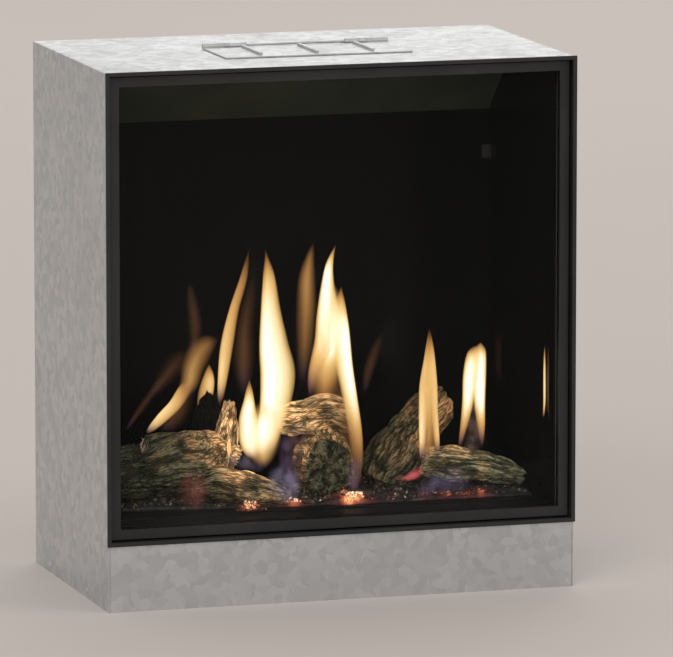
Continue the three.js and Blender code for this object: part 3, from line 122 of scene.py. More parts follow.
# Flames: the side that their heart leans to, from -1 to 1, and points up the middle of each: across, back, up
# and half width in millimetres, then heat and density
FLAMES = {
    "flame_sweep": (-0.8, (
        (-184, -62, 169, 3, 0.78, 0.8), (-167, -60, 184, 6, 0.82, 0.95), (-152, -58, 197, 7, 0.78, 0.8),
        (-142, -56, 210, 7.5, 0.62, 0.5), (-134, -55, 223, 6, 0.4, 0.25))),
    "flame_nub": (0.5, (
        (-94, 38, 168, 5, 0.45, 0.5), (-91, 38, 186, 8.5, 0.66, 0.6), (-87, 38, 206, 7, 0.78, 0.75),
        (-86, 38, 224, 1, 0.4, 0.5))),
    "flame_reed": (-0.6, (
        (-91, -20, 188, 3, 0.6, 0.5), (-88, -20, 215, 5.4, 0.8, 0.85), (-83, -20, 252, 7.2, 0.77, 0.8),
        (-75, -20, 290, 5.6, 0.66, 0.7), (-64, -20, 325, 4.2, 0.5, 0.55), (-58, -20, 356, 1.2, 0.3, 0.3))),
    "flame_leaf": (0.0, (
        (-70, -85, 139, 6, 0.85, 0.4), (-75, -84, 156, 12, 1, 1), (-77, -81, 180, 11, 1, 1.1),
        (-75, -77, 202, 6, 0.95, 1), (-74, -75, 225, 1, 0.5, 0.5))),
    "flame_spire": (-0.55, (
        (-60, -82, 137, 7, 0.8, 0.35), (-56, -78, 158, 12.5, 1, 1), (-46, -72, 190, 16.5, 1, 1.1),
        (-40, -66, 226, 19.5, 1, 1.1), (-43, -62, 256, 16.5, 1, 1.1), (-46, -60, 295, 11, 0.95, 1.05),
        (-48, -60, 332, 6.5, 0.8, 0.9), (-52, -60, 362, 0.8, 0.45, 0.5))),
    "flame_plume_left": (-0.4, (
        (-2, -58, 196, 3, 0.35, 0.3), (3, -58, 225, 7, 0.6, 0.5), (14, -57, 255, 11, 0.85, 0.8),
        (19, -55, 286, 12.5, 0.97, 1), (19, -55, 318, 7.5, 1, 1.05), (21, -55, 340, 4.2, 1, 1),
        (28, -55, 362, 0.8, 0.6, 0.6))),
    "flame_plume_right": (0.6, (
        (31, -108, 98, 5, 0.4, 0.12), (36, -104, 127, 7, 0.36, 0.15), (39, -92, 158, 8, 0.62, 0.4),
        (38, -74, 198, 8.5, 0.95, 0.9), (36, -60, 232, 9.5, 1, 1.05), (34, -53, 272, 9.5, 1, 1),
        (34, -52, 300, 5, 0.75, 0.7), (35, -52, 317, 1, 0.5, 0.4))),
    "flame_lance_left": (-0.4, (
        (115, -84, 127, 3, 0.5, 0.3), (116, -84, 150, 4, 0.85, 0.75), (117, -83, 182, 5, 0.85, 0.9),
        (118, -82, 209, 5, 0.78, 0.9), (122, -82, 240, 3.6, 0.73, 0.8), (124, -82, 272, 0.8, 0.4, 0.4))),
    "flame_lance_right": (0.4, (
        (133, -84, 134, 3, 0.5, 0.4), (132, -84, 152, 3.5, 0.75, 0.7), (130, -83, 182, 4, 0.78, 0.75),
        (129, -82, 209, 4.5, 0.78, 0.85), (127, -82, 240, 3.6, 0.78, 0.8), (125, -82, 271, 0.8, 0.4, 0.4))),
    "flame_finger_left": (-0.2, (
        (164, -62, 134, 2, 0.3, 0.25), (169, -62, 156, 4, 0.6, 0.5), (174, -62, 184, 6.5, 0.95, 0.9),
        (177, -62, 214, 8.5, 1, 1.1), (180, -62, 234, 8, 0.9, 0.9), (182, -62, 246, 4.5, 0.6, 0.6))),
    "flame_finger_right": (0.3, (
        (191, -60, 133, 2, 0.3, 0.25), (190, -60, 158, 4.5, 0.66, 0.55), (188, -60, 184, 6.5, 1, 1),
        (187, -60, 214, 8.5, 1, 1.1), (188, -60, 236, 7.5, 0.95, 0.95), (189, -60, 249, 4.5, 0.7, 0.6))),
    # A thin flame at the right liner's front that stands in for a flame's reflection in the liner: a painted
    # reflection.
    "flame_painted_reflection_edge": (0.0, (
        (243, -112, 172, 0.6, 0.5, 0.4), (244, -112, 188, 1.3, 0.8, 0.8), (244, -112, 225, 1.3, 0.85, 0.8),
        (244, -112, 252, 0.5, 0.5, 0.4))),
}

# Soft-edged gas beside and between the flames, and two dim copies of flames that are painted reflections in
# the
# lining: the same six columns
VEILS = {
    "veil_sweep_tip": (
        (-147, -54, 200, 6, 0.3, 0.35), (-135, -54, 219, 11, 0.58, 0.65), (-130, -53, 237, 13.5, 0.58, 0.62),
        (-122, -52, 252, 14.5, 0.5, 0.55), (-112, -50, 260, 11, 0.44, 0.5), (-100, -50, 264, 4, 0.36, 0.4)),
    "veil_sweep_low": (
        (-162, -40, 166, 6, 0.2, 0.2), (-146, -40, 182, 13, 0.26, 0.3), (-137, -40, 202, 12, 0.24, 0.28),
        (-130, -40, 220, 6, 0.18, 0.12)),
    "veil_sweep_shade": (
        (-157, 17, 195, 5, 0.12, 0.2), (-141, 17, 214, 10, 0.16, 0.32), (-128, 17, 231, 12, 0.16, 0.3),
        (-117, 17, 244, 5, 0.12, 0.15)),
    "veil_streak": (
        (-188, 10, 160, 2, 0.14, 0.3), (-168, 14, 184, 5, 0.15, 0.35), (-145, 17, 212, 5, 0.14, 0.3),
        (-119, 20, 238, 2, 0.1, 0.2)),
    "veil_shade": (
        (-104, 40, 232, 3, 0.16, 0.25), (-101, 40, 262, 8, 0.2, 0.4), (-105, 40, 295, 6, 0.17, 0.35),
        (-108, 40, 314, 2, 0.12, 0.2)),
    "veil_reed": (
        (-57, 5, 190, 5, 0.2, 0.3), (-57, 5, 232, 13, 0.26, 0.42), (-56, 5, 265, 11, 0.24, 0.4),
        (-50, 5, 300, 8, 0.18, 0.28), (-44, 5, 332, 2, 0.12, 0.15)),
    "veil_foot": (
        (-61, -93, 130, 5, 0.4, 0.25), (-64, -92, 144, 15, 0.72, 0.75), (-65, -90, 160, 21, 0.9, 1.3),
        (-62, -88, 182, 19, 0.9, 1.1), (-60, -86, 204, 9, 0.6, 0.4)),
    # A dim flame behind the plumes, standing in for a flame's reflection in the back lining: a painted
    # reflection.
    "veil_painted_reflection_back": (
        (20, 45, 188, 5, 0.15, 0.15), (23, 45, 228, 10, 0.34, 0.4), (25, 45, 275, 12, 0.48, 0.6),
        (26, 45, 312, 10, 0.55, 0.65), (30, 45, 336, 5, 0.45, 0.5), (34, 45, 352, 1, 0.3, 0.3)),
    "veil_plume_body": (
        (17, -50, 178, 9, 0.3, 0.35), (17, -50, 202, 15, 0.45, 0.7), (19, -50, 226, 19, 0.68, 1.7),
        (23, -50, 250, 19, 0.95, 2.2), (26, -56, 284, 14, 0.97, 1.8), (25, -56, 322, 5, 0.8, 1)),
    "veil_plume_foot": (
        (30, -101, 118, 8, 0.22, 0.18), (31, -90, 150, 11, 0.26, 0.24), (29, -75, 188, 12, 0.32, 0.3),
        (28, -62, 222, 9, 0.36, 0.3)),
    "veil_wisp": (
        (94, 55, 180, 3, 0.1, 0.2), (99, 55, 205, 7, 0.2, 0.36), (107, 55, 228, 6.5, 0.17, 0.3),
        (115, 55, 248, 1, 0.1, 0.15)),
    "veil_lance_body": (
        (121, -84, 122, 9, 0.3, 0.3), (123, -84, 152, 11, 0.5, 0.8), (123, -84, 198, 11, 0.7, 1.2),
        (124, -84, 232, 6.5, 0.68, 1.1), (124, -84, 256, 2.5, 0.5, 0.6)),
    # A dim flame at the right liner's face, standing in for a flame's reflection in the liner: a painted
    # reflection.
    "veil_painted_reflection_right": (
        (242, 40, 185, 2, 0.12, 0.05), (242, 40, 205, 5, 0.14, 0.11), (242, 40, 226, 5, 0.14, 0.12),
        (242, 40, 248, 2, 0.12, 0.05)),
}

# Faint coloured gas low in the pile: its colour, then points of across, back, up, half width and density
HAZES = {
    "haze_strip": ((0.3, 0.17, 0.3), (
        (-38, -104, 98, 6, 0.1), (-40, -104, 124, 10, 0.3), (-41, -104, 148, 10, 0.3),
        (-42, -103, 178, 5, 0.1))),
    "haze_blue": ((0.32, 0.28, 0.42), (
        (-36, -107, 96, 12, 0.22), (-45, -107, 115, 20, 0.85), (-53, -107, 138, 11, 0.15))),
    "haze_left": ((0.5, 0.14, 0.11), (
        (-144, -112, 93, 12, 0.1), (-147, -112, 113, 20, 0.3), (-152, -112, 144, 11, 0.05))),
    "haze_red": ((1.15, 0.2, 0.22), (
        (79, -106, 113, 2, 0.3), (92, -106, 115, 5, 0.7), (103, -106, 119, 6, 0.65),
        (110, -106, 127, 4, 0.2))),
    "haze_plume": ((0.34, 0.2, 0.28), (
        (29, -109, 97, 5, 0.15), (31, -108, 118, 8, 0.34), (34, -106, 142, 6, 0.12))),
    "haze_gap": ((0.2, 0.15, 0.2), (
        (-96, -55, 136, 6, 0.2), (-80, -55, 133, 9, 0.55), (-64, -55, 129, 10, 0.6),
        (-48, -55, 126, 6, 0.2))),
    "haze_right": ((0.25, 0.2, 0.34), (
        (102, -108, 97, 8, 0.08), (124, -108, 107, 14, 0.34), (144, -108, 109, 17, 0.3),
        (166, -108, 103, 8, 0.05))),
    "haze_finger": ((0.19, 0.12, 0.09), (
        (177, -58, 124, 11, 0.4), (180, -58, 148, 13, 0.9), (182, -58, 166, 10, 1.3),
        (183, -58, 190, 5, 0.8))),
    "haze_bridge": ((0.36, 0.18, 0.16), (
        (-26, -88, 112, 9, 0.1), (-24, -84, 150, 14, 0.3), (-26, -80, 188, 9, 0.1))),
}

# Flame colours from cool to hot, and the violet at a flame's foot
HEAT_STOPS = (0.0, 0.2, 0.45, 0.7, 0.88, 1.0)
HEAT_COLOURS = ((0.02, 0.01, 0.014), (0.19, 0.08, 0.032), (0.8, 0.38, 0.11), (1.3, 0.88, 0.31),
                (2.2, 2.05, 1.75), (3.1, 3.1, 4.1))
FOOT_COLOUR = (0.27, 0.15, 0.24)

# The shells of crisp and of soft gas: share of the width and opacity
FLAME_SHELLS = ((1.0, 0.1), (0.96, 0.13), (0.91, 0.15), (0.85, 0.17), (0.78, 0.18), (0.69, 0.18),
                (0.58, 0.18), (0.45, 0.18), (0.3, 0.18))
SOFT_SHELLS = ((1.0, 0.025), (0.91, 0.04), (0.82, 0.055), (0.72, 0.07), (0.62, 0.08), (0.51, 0.09),
               (0.39, 0.1), (0.26, 0.1), (0.13, 0.1))

# Glowing places in the bed: across, back, up and reach in millimetres, and strength
GLOWS = (
    (36, -103, 100, 11, 1.05), (28, -106, 95, 10, 0.95), (42, -101, 105, 9, 0.9), (-32, -104, 98, 10, 0.95),
    (-46, -104, 96, 8, 0.5), (-84, -109, 98, 11, 0.68), (-70, -104, 95, 8, 0.45), (77, -103, 101, 9, 0.26),
    (136, -105, 98, 10, 0.34), (112, -105, 96, 8, 0.2), (160, -105, 95, 10, 0.3), (176, -105, 94, 9, 0.38),
    (34, -103, 98, 20, 0.46),
)

# Low waves on the bed: height share, waves across and back over its half width, and where they start
BED_WAVES = ((0.148, 16.5, 10, 9.5), (0.101, 26.2, -20.2, 6.5), (0.086, -10.9, 30.4, 5.5))

# Chips piled on the tray against the left front log: across, back, spread across and back, height, all in mm,
# and how many
HEAP = (-84, -108.5, 6, 1.6, 13, 340)


# Surfaces

def unit(vectors):
    """Vectors divided by their lengths."""
    return vectors / np.maximum(np.linalg.norm(vectors, axis=-1, keepdims=True), 1e-12)


def smooth_step(value, low, high):
    """0 below low, 1 above high, and 3t^2 - 2t^3 between them."""
    t = np.clip((value - low) / (high - low), 0, 1)
    return t * t * (3 - 2 * t)


def lattice_share(x, y, z, seed):
    """A steady pseudo-random share for each whole-numbered corner, by mixing its three numbers' bits."""
    n = (x.astype(np.uint32) * np.uint32(374761393) + y.astype(np.uint32) * np.uint32(668265263)
         + z.astype(np.uint32) * np.uint32(2246822519) + np.uint32((seed * 3266489917) & 0xFFFFFFFF))
    n = (n ^ (n >> np.uint32(13))) * np.uint32(1274126177)
    return (n ^ (n >> np.uint32(16))) / 4294967295.0


def noise(points, seed=0):
    """Smooth noise from 0 to 1: the shares of the eight lattice corners round a point, blended smoothly."""
    base = np.floor(points)
    t = points - base
    t = t * t * (3 - 2 * t)
    base = base.astype(np.int64)
    total = np.zeros(points.shape[:-1])
    for corner in product((0, 1), repeat=3):
        weight = np.prod(np.where(np.array(corner, bool), t, 1 - t), axis=-1)
        x, y, z = (base[..., k] + corner[k] for k in range(3))
        total += weight * lattice_share(x, y, z, seed)
    return total


def spline(rows, shares):
    """Points on a curve through rows: a centripetal Catmull-Rom spline, whose knots lie the square root of
    the distance apart. Columns after the third, such as a width, follow the same curve."""
    rows = np.asarray(rows, float)
    padded = np.vstack([2 * rows[0] - rows[1], rows, 2 * rows[-1] - rows[-2]])
    gaps = np.linalg.norm(np.diff(padded[:, :3], axis=0), axis=1) ** 0.5
    place = np.clip(np.asarray(shares, float), 0, 1) * (len(rows) - 1)
    i = np.minimum(place.astype(int), len(rows) - 2)
    t = (place - i)[:, None]
    d0, d1, d2 = (gaps[i + k][:, None] for k in range(3))
    p0, p1, p2, p3 = (padded[i + k] for k in range(4))
    m1 = ((p1 - p0) / d0 - (p2 - p0) / (d0 + d1) + (p2 - p1) / d1) * d1
    m2 = ((p2 - p1) / d1 - (p3 - p1) / (d1 + d2) + (p3 - p2) / d2) * d1
    return (p1 + m1 * t + (3 * (p2 - p1) - 2 * m1 - m2) * t ** 2 + (2 * (p1 - p2) + m1 + m2) * t ** 3)


def frames_along(points):
    """Unit tangents of a line of points, and two unit directions square to each and to one another."""
    along = unit(np.gradient(points, axis=0))
    steady = np.array([0, 1, 0.0]) if abs(along[0][2]) > 0.7 else np.array([0, 0, 1.0])
    side = unit(np.cross(along, steady))
    rise = unit(np.cross(side, along))
    return along, side, rise


def closed_faces(rows, columns):
    """Four-cornered faces of a grid of rings, and three-cornered ones from each end ring to its own pole. The
    poles are the two points after the grid's."""
    i, j = np.meshgrid(np.arange(rows - 1), np.arange(columns), indexing="ij")
    k = (j + 1) % columns
    quads = np.stack([i * columns + j, (i + 1) * columns + j, (i + 1) * columns + k, i * columns + k], -1)
    j = np.arange(columns)
    k = (j + 1) % columns
    first, last = rows * columns, (rows - 1) * columns
    fans = np.concatenate([
        np.stack([np.full(columns, first), j, k], -1),
        np.stack([np.full(columns, first + 1), last + k, last + j], -1),
    ])
    return quads.reshape(-1, 4), fans


def rings_round(middles, side, rise, angle, wide, high):
    """Elliptical rings round the points of a line, each in the plane of its own two directions."""
    return (middles[:, None] + side[:, None] * (np.cos(angle) * wide)[..., None]
            + rise[:, None] * (np.sin(angle) * high)[..., None])


def with_poles(rings):
    """A value for each point of a grid of rings, then for its two poles the mean of each end ring's."""
    return np.concatenate([rings.reshape(-1, *rings.shape[2:]), rings[[0, -1]].mean(1)])


def volume_of(points, quads, fans):
    """Signed volume: the sum of the tetrahedra from the origin to each face."""
    corners = np.concatenate([quads[:, [0, 1, 2]], quads[:, [0, 2, 3]], fans])
    a, b, c = (points[corners[:, k]] for k in range(3))
    return np.einsum("ij,ij->i", a, np.cross(b, c)).sum() / 6


def mesh_from(name, points, quads, fans, attributes=None):
    """A mesh from whole arrays, with its faces turned outwards and its per-point values attached."""
    if volume_of(points, quads, fans) < 0:
        quads, fans = quads[:, ::-1], fans[:, ::-1]
    mesh = bpy.data.meshes.new(name)
    mesh.vertices.add(len(points))
    mesh.vertices.foreach_set("co", np.ascontiguousarray(points, np.float32).ravel())
    corners = np.concatenate([quads.ravel(), fans.ravel()]).astype(np.int32)
    sizes = np.concatenate([np.full(len(quads), 4), np.full(len(fans), 3)])
    starts = np.concatenate([[0], np.cumsum(sizes)[:-1]]).astype(np.int32)
    mesh.loops.add(len(corners))
    mesh.loops.foreach_set("vertex_index", corners)
    mesh.polygons.add(len(sizes))
    mesh.polygons.foreach_set("loop_start", starts)
    mesh.polygons.foreach_set("use_smooth", np.ones(len(sizes), bool))
    for key, values in (attributes or {}).items():
        values = np.asarray(values, np.float32)
        kind, field = ("FLOAT_VECTOR", "vector") if values.ndim == 2 else ("FLOAT", "value")
        mesh.attributes.new(key, kind, "POINT").data.foreach_set(field, values.ravel())
    mesh.update(calc_edges=True)
    mesh.validate()
    return mesh


def several(parts):
    """Points, faces and attributes of many closed forms put together, each form's faces turned outwards."""
    points, quads, fans, attributes, count = [], [], [], {}, 0
    for form_points, form_quads, form_fans, form_attributes in parts:
        if volume_of(form_points, form_quads, form_fans) < 0:
            form_quads, form_fans = form_quads[:, ::-1], form_fans[:, ::-1]
        points.append(form_points)
        quads.append(form_quads + count)
        fans.append(form_fans + count)
        for key, values in form_attributes.items():
            attributes.setdefault(key, []).append(values)
        count += len(form_points)
    joined = {key: np.concatenate(values) for key, values in attributes.items()}
    return np.concatenate(points), np.concatenate(quads), np.concatenate(fans), joined


def place(name, mesh, material, body="case", slot=None, stands_for=()):
    """Puts a finished mesh in the scene with its material and its body, and hides the nodes it replaces. The
    slot it is given is not used.
    """
    mesh.materials.append(material)
    piece = bpy.data.objects.new(name, mesh)
    bpy.context.scene.collection.objects.link(piece)
    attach(piece, body)
    if stands_for:
        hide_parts(*stands_for)


# Shader helpers

def feed(tree, socket, value):
    """Sets a socket's value, or links it where the value is another node's output."""
    if isinstance(value, NodeSocket):
        tree.links.new(value, socket)
    elif hasattr(socket.default_value, "__len__") and len(socket.default_value) == 4 and len(value) == 3:
        socket.default_value = (*value, 1)
    else:
        socket.default_value = value


def give(tree, node, **values):
    """Feeds a node's inputs by their names, with underscores for spaces."""
    for key, value in values.items():
        feed(tree, node.inputs[key.replace("_", " ")], value)


def add(tree, kind, inputs=None, **settings):
    """A new shader node with its settings, and its inputs fed by name or number."""
    node = tree.nodes.new("ShaderNode" + kind)
    for key, value in settings.items():
        setattr(node, key, value)
    for key, value in (inputs or {}).items():
        feed(tree, node.inputs[key], value)
    return node


def maths(tree, operation, *values):
    """The result of a Math node."""
    return add(tree, "Math", dict(enumerate(values)), operation=operation).outputs[0]


def scaled(tree, vector, share):
    """A vector or colour times one number."""
    return add(tree, "VectorMath", {0: vector, "Scale": share}, operation="SCALE").outputs[0]


def span(tree, value, low, high, to_low=0.0, to_high=1.0):
    """A value mapped smoothly from one span to another."""
    return add(tree, "MapRange", {0: value, 1: low, 2: high, 3: to_low, 4: to_high},
               interpolation_type="SMOOTHSTEP").outputs[0]


def mix(tree, share, first, second, blend="MIX"):
    """One colour blended into another."""
    return add(tree, "Mix", {0: share, 6: first, 7: second}, data_type="RGBA", blend_type=blend).outputs[2]


def ramp(tree, value, stops):
    """A colour ramp with its stops as place and colour."""
    node = add(tree, "ValToRGB", {0: value})
    elements = node.color_ramp.elements
    while len(elements) < len(stops):
        elements.new(0.5)
    for element, (at, colour) in zip(elements, stops):
        element.position = at
        element.color = (*colour, 1)
    return node.outputs[0]


def object_place(tree, scale=(1, 1, 1)):
    """Object coordinates, stretched."""
    coordinates = add(tree, "TexCoord").outputs["Object"]
    return add(tree, "Mapping", {"Vector": coordinates, "Scale": scale}).outputs[0]


def cloud(tree, vector, scale, detail=4.0, roughness=0.55):
    """The value of a noise texture."""
    return add(tree, "TexNoise", {"Vector": vector, "Scale": scale, "Detail": detail, "Roughness": roughness}
               ).outputs[0]


def attribute(tree, name, output="Fac"):
    """A value or colour stored on the mesh."""
    return add(tree, "Attribute", attribute_name=name).outputs[output]


def new_material(name, **plain):
    """A material with one Principled BSDF, whose plain values are set on its own sockets."""
    material = bpy.data.materials.new(name)
    material.use_nodes = True
    tree = material.node_tree
    tree.nodes.clear()
    surface = tree.nodes.new("ShaderNodeBsdfPrincipled")
    output = tree.nodes.new("ShaderNodeOutputMaterial")
    tree.links.new(surface.outputs[0], output.inputs[0])
    give(tree, surface, **plain)
    return material, tree, surface


def new_group(name, inputs, outputs):
    """An empty shader group, its sockets given as name, kind and default."""
    group = bpy.data.node_groups.new(name, "ShaderNodeTree")
    for label, kind, default in inputs:
        socket = group.interface.new_socket(name=label, in_out="INPUT", socket_type="NodeSocket" + kind)
        if default is not None:
            socket.default_value = default
    for label, kind in outputs:
        group.interface.new_socket(name=label, in_out="OUTPUT", socket_type="NodeSocket" + kind)
    return group, group.nodes.new("NodeGroupInput"), group.nodes.new("NodeGroupOutput")


def use_group(tree, group, **values):
    """A group placed in a material with its own values."""
    node = tree.nodes.new("ShaderNodeGroup")
    node.node_tree = group
    give(tree, node, **values)
    return node


def raised(tree, height, strength, depth, normal=None):
    """The normal of a surface raised by a height, to a depth in millimetres, over a plain or rounded one."""
    inputs = {"Strength": strength, "Distance": depth * MM, "Height": height}
    if normal:
        inputs["Normal"] = normal
    return add(tree, "Bump", inputs).outputs[0]


def height_above_floor(tree):
    """Height above the floor, from object coordinates."""
    return add(tree, "SeparateXYZ", {0: add(tree, "TexCoord").outputs["Object"]}).outputs[2]


# Shared effects

def shared(make):
    """Makes a group the first time that it is asked for, and gives the same one after that."""
    @wraps(make)
    def given():
        return bpy.data.node_groups.get(make.__name__) or make()
    return given


@shared
def edge_wear():
    """Where an edge is rounded by handling: the angle between the true normal and one rounded over a radius,
    broken up by noise, with the rounded normal beside it."""
    group, into, out = new_group("edge_wear", [
        ("Radius", "Float", 0.001), ("Amount", "Float", 0.5), ("Scale", "Float", 120.0),
    ], [("Wear", "Float"), ("Normal", "Vector")])
    rounded = add(group, "Bevel", {"Radius": into.outputs["Radius"]}, samples=4)
    true = add(group, "NewGeometry").outputs["Normal"]
    alike = add(group, "VectorMath", {0: rounded.outputs[0], 1: true}, operation="DOT_PRODUCT")
    bend = maths(group, "SUBTRACT", 1.0, alike.outputs["Value"])
    patches = cloud(group, object_place(group), into.outputs["Scale"], 5)
    worn = maths(group, "MULTIPLY", span(group, bend, 0.01, 0.25), span(group, patches, 0.35, 0.7))
    feed(group, out.inputs["Wear"], maths(group, "MULTIPLY", worn, into.outputs["Amount"]))
    feed(group, out.inputs["Normal"], rounded.outputs[0])
    return group


@shared
def dust_film():
    """Dust that settles on faces that look up, in soft patches."""
    group, into, out = new_group("dust_film", [("Amount", "Float", 0.2), ("Scale", "Float", 25.0)],
                                 [("Dust", "Float")])
    normal = add(group, "SeparateXYZ", {0: add(group, "NewGeometry").outputs["Normal"]}).outputs[2]
    patches = cloud(group, object_place(group), into.outputs["Scale"], 6)
    settled = maths(group, "MULTIPLY", span(group, normal, 0.2, 1.0), span(group, patches, 0.3, 0.75))
    feed(group, out.inputs["Dust"], maths(group, "MULTIPLY", settled, into.outputs["Amount"]))
    return group


@shared
def fine_grain():
    """A fine even grain and a broad soft mottle from two noises, for paint, plastic, castings and fibre."""
    group, into, out = new_group("fine_grain", [
        ("Grain Scale", "Float", 900.0), ("Mottle Scale", "Float", 18.0), ("Stretch", "Vector", (1, 1, 1)),
    ], [("Grain", "Float"), ("Mottle", "Float")])
    coordinates = add(group, "TexCoord").outputs["Object"]
    stretched = add(group, "VectorMath", {0: coordinates, 1: into.outputs["Stretch"]}, operation="MULTIPLY")
    feed(group, out.inputs["Grain"], cloud(group, stretched.outputs[0], into.outputs["Grain Scale"], 3))
    feed(group, out.inputs["Mottle"], cloud(group, coordinates, into.outputs["Mottle Scale"], 5))
    return group


@shared
def zinc_spangle():
    """The crystals of hot-dipped zinc: cells of one brightness each, with soft borders and fine streaks."""
    group, into, out = new_group("zinc_spangle", [("Scale", "Float", 70.0)],
                                 [("Spangle", "Float"), ("Border", "Float")])
    where = object_place(group)
    sway = add(group, "TexNoise", {"Vector": where, "Scale": 60.0}).outputs["Color"]
    bent = add(group, "VectorMath", {0: where, 1: scaled(group, sway, 0.012)}, operation="ADD").outputs[0]
    cells = add(group, "TexVoronoi", {"Vector": bent, "Scale": into.outputs["Scale"], "Randomness": 1.0})
    border = add(group, "TexVoronoi", {"Vector": bent, "Scale": into.outputs["Scale"], "Randomness": 1.0},
                 feature="DISTANCE_TO_EDGE")
    tone = add(group, "SeparateColor", {0: cells.outputs["Color"]}).outputs[0]
    streak = cloud(group, where, 400.0, 2)
    feed(group, out.inputs["Spangle"], maths(group, "ADD", maths(group, "MULTIPLY", tone, 0.8),
                                            maths(group, "MULTIPLY", streak, 0.2)))
    feed(group, out.inputs["Border"], span(group, border.outputs["Distance"], 0.0, 0.08))
    return group


@shared
def bark_relief():
    """Fine relief of bark, from noise in the mesh's own grain coordinates, which are long along the log:
    narrow ridges, and grit finer than they are."""
    group, into, out = new_group("bark_relief", [("Grain", "Vector", None), ("Ridge Width", "Float", 0.003)],
                                 [("Ridges", "Float"), ("Grit", "Float")])
    scale = maths(group, "DIVIDE", 1.0, into.outputs["Ridge Width"])
    broad = cloud(group, into.outputs["Grain"], scale, 1.5, 0.5)
    fold = maths(group, "ABSOLUTE", maths(group, "MULTIPLY_ADD", broad, 2.0, -1.0))
    fine = cloud(group, into.outputs["Grain"], maths(group, "MULTIPLY", scale, 2.6), 2, 0.6)
    ridges = maths(group, "ADD", span(group, fold, 0.0, 0.32, 0.0, 0.72), maths(group, "MULTIPLY", fine, 0.4))
    feed(group, out.inputs["Ridges"], ridges)
    feed(group, out.inputs["Grit"], cloud(group, object_place(group), 900.0, 4, 0.7))
    return group


# Finishes

def toned(colour, share):
    """A colour made darker or lighter by one number, as far as white."""
    return tuple(min(1.0, share * c) for c in colour)


def in_use(tree, wear, dust, grain, stretch=(1, 1, 1)):
    """What most finishes share: edge wear by its radius in millimetres, amount and scale, dust by its amount
    and scale, and grain by the scales of its fine and broad noises."""
    worn = use_group(tree, edge_wear(), Radius=wear[0] * MM, Amount=wear[1], Scale=wear[2])
    dusty = use_group(tree, dust_film(), Amount=dust[0], Scale=dust[1])
    grained = use_group(tree, fine_grain(), Grain_Scale=grain[0], Mottle_Scale=grain[1], Stretch=stretch)
    return worn.outputs, dusty.outputs[0], grained.outputs


def galvanised(colours):
    """Zinc-coated sheet: spangle in colour and gloss, darker borders, a dull film of dust, and worn edges."""
    material, tree, surface = new_material("galvanised_sheet", Metallic=0.85)
    zinc = use_group(tree, zinc_spangle(), Scale=105.0).outputs
    wear, dust, grain = in_use(tree, (0.8, 0.8, 90.0), (0.25, 22.0), (700.0, 7.0))
    tone = mix(tree, zinc["Spangle"], toned(colours.zinc, 0.82), toned(colours.zinc, 1.1))
    tone = mix(tree, span(tree, grain["Mottle"], 0.45, 0.75, 0.0, 0.22), tone, toned(colours.zinc, 0.6))
    tone = mix(tree, wear["Wear"], tone, (0.8, 0.81, 0.82))
    gloss = span(tree, zinc["Spangle"], 0.1, 0.9, 0.46, 0.38)
    border = maths(tree, "MULTIPLY", zinc["Border"], 0.4)
    relief = maths(tree, "ADD", border, maths(tree, "MULTIPLY", grain["Grain"], 0.25))
    give(tree, surface, Base_Color=mix(tree, dust, tone, (0.42, 0.4, 0.37)),
         Roughness=maths(tree, "ADD", gloss, maths(tree, "MULTIPLY", dust, 0.6)),
         Normal=raised(tree, relief, 0.12, 0.2, wear["Normal"]))
    return material


def black_paint(base, name="heatproof_black_paint", roughness=0.42, worn=0.5, dusty=0.16, shine=0.36):
    """Heat-proof black paint: fine orange peel, a faint mottle in colour and gloss, edges worn to grey."""
    material, tree, surface = new_material(name, Metallic=0.0, Specular_IOR_Level=shine)
    wear, dust, grain = in_use(tree, (0.7, worn, 160.0), (dusty, 30.0), (1300.0, 11.0))
    film = tuple(0.12 * t + 0.6 * c for t, c in zip((0.16, 0.15, 0.14), base))
    tone = mix(tree, span(tree, grain["Mottle"], 0.3, 0.7), toned(base, 0.75), toned(base, 1.3))
    tone = mix(tree, wear["Wear"], tone, (0.045, 0.045, 0.046))
    give(tree, surface, Base_Color=mix(tree, dust, tone, film),
         Roughness=span(tree, grain["Mottle"], 0.25, 0.75, roughness + 0.07, roughness - 0.05),
         Normal=raised(tree, grain["Grain"], 0.25, 0.12, wear["Normal"]))
    return material


def lining_glass(colours):
    """Polished black glass: almost no colour of its own, a faint haze in its gloss, and soot low down."""
    material, tree, surface = new_material("black_lining_glass", Metallic=0.0, Specular_IOR_Level=0.03)
    mottle = use_group(tree, fine_grain(), Grain_Scale=300.0, Mottle_Scale=6.0).outputs["Mottle"]
    low = span(tree, height_above_floor(tree), 0.24, 0.1)
    soot = maths(tree, "MULTIPLY", low, span(tree, mottle, 0.35, 0.7))
    give(tree, surface, Base_Color=mix(tree, soot, colours.lining, (0.012, 0.011, 0.01)),
         Roughness=span(tree, maths(tree, "ADD", soot, mottle), 0.3, 1.4, 0.03, 0.3))
    return material


def window_pane():
    """Clear ceramic glass: a thin smoke tint, a bright gloss, and a faint bloom at its base."""
    material, tree, surface = new_material(
        "window_pane_glass", Metallic=0.0, Roughness=0.02, Transmission_Weight=0.0)
    mottle = use_group(tree, fine_grain(), Grain_Scale=80.0, Mottle_Scale=9.0).outputs["Mottle"]
    low = span(tree, height_above_floor(tree), 0.14, 0.085)
    bloom = maths(tree, "MULTIPLY", low, span(tree, mottle, 0.3, 0.8))
    give(tree, surface, Base_Color=mix(tree, bloom, (0.01, 0.012, 0.012), (0.05, 0.05, 0.048)),
         Alpha=span(tree, bloom, 0.0, 1.0, 0.07, 0.12))
    return material


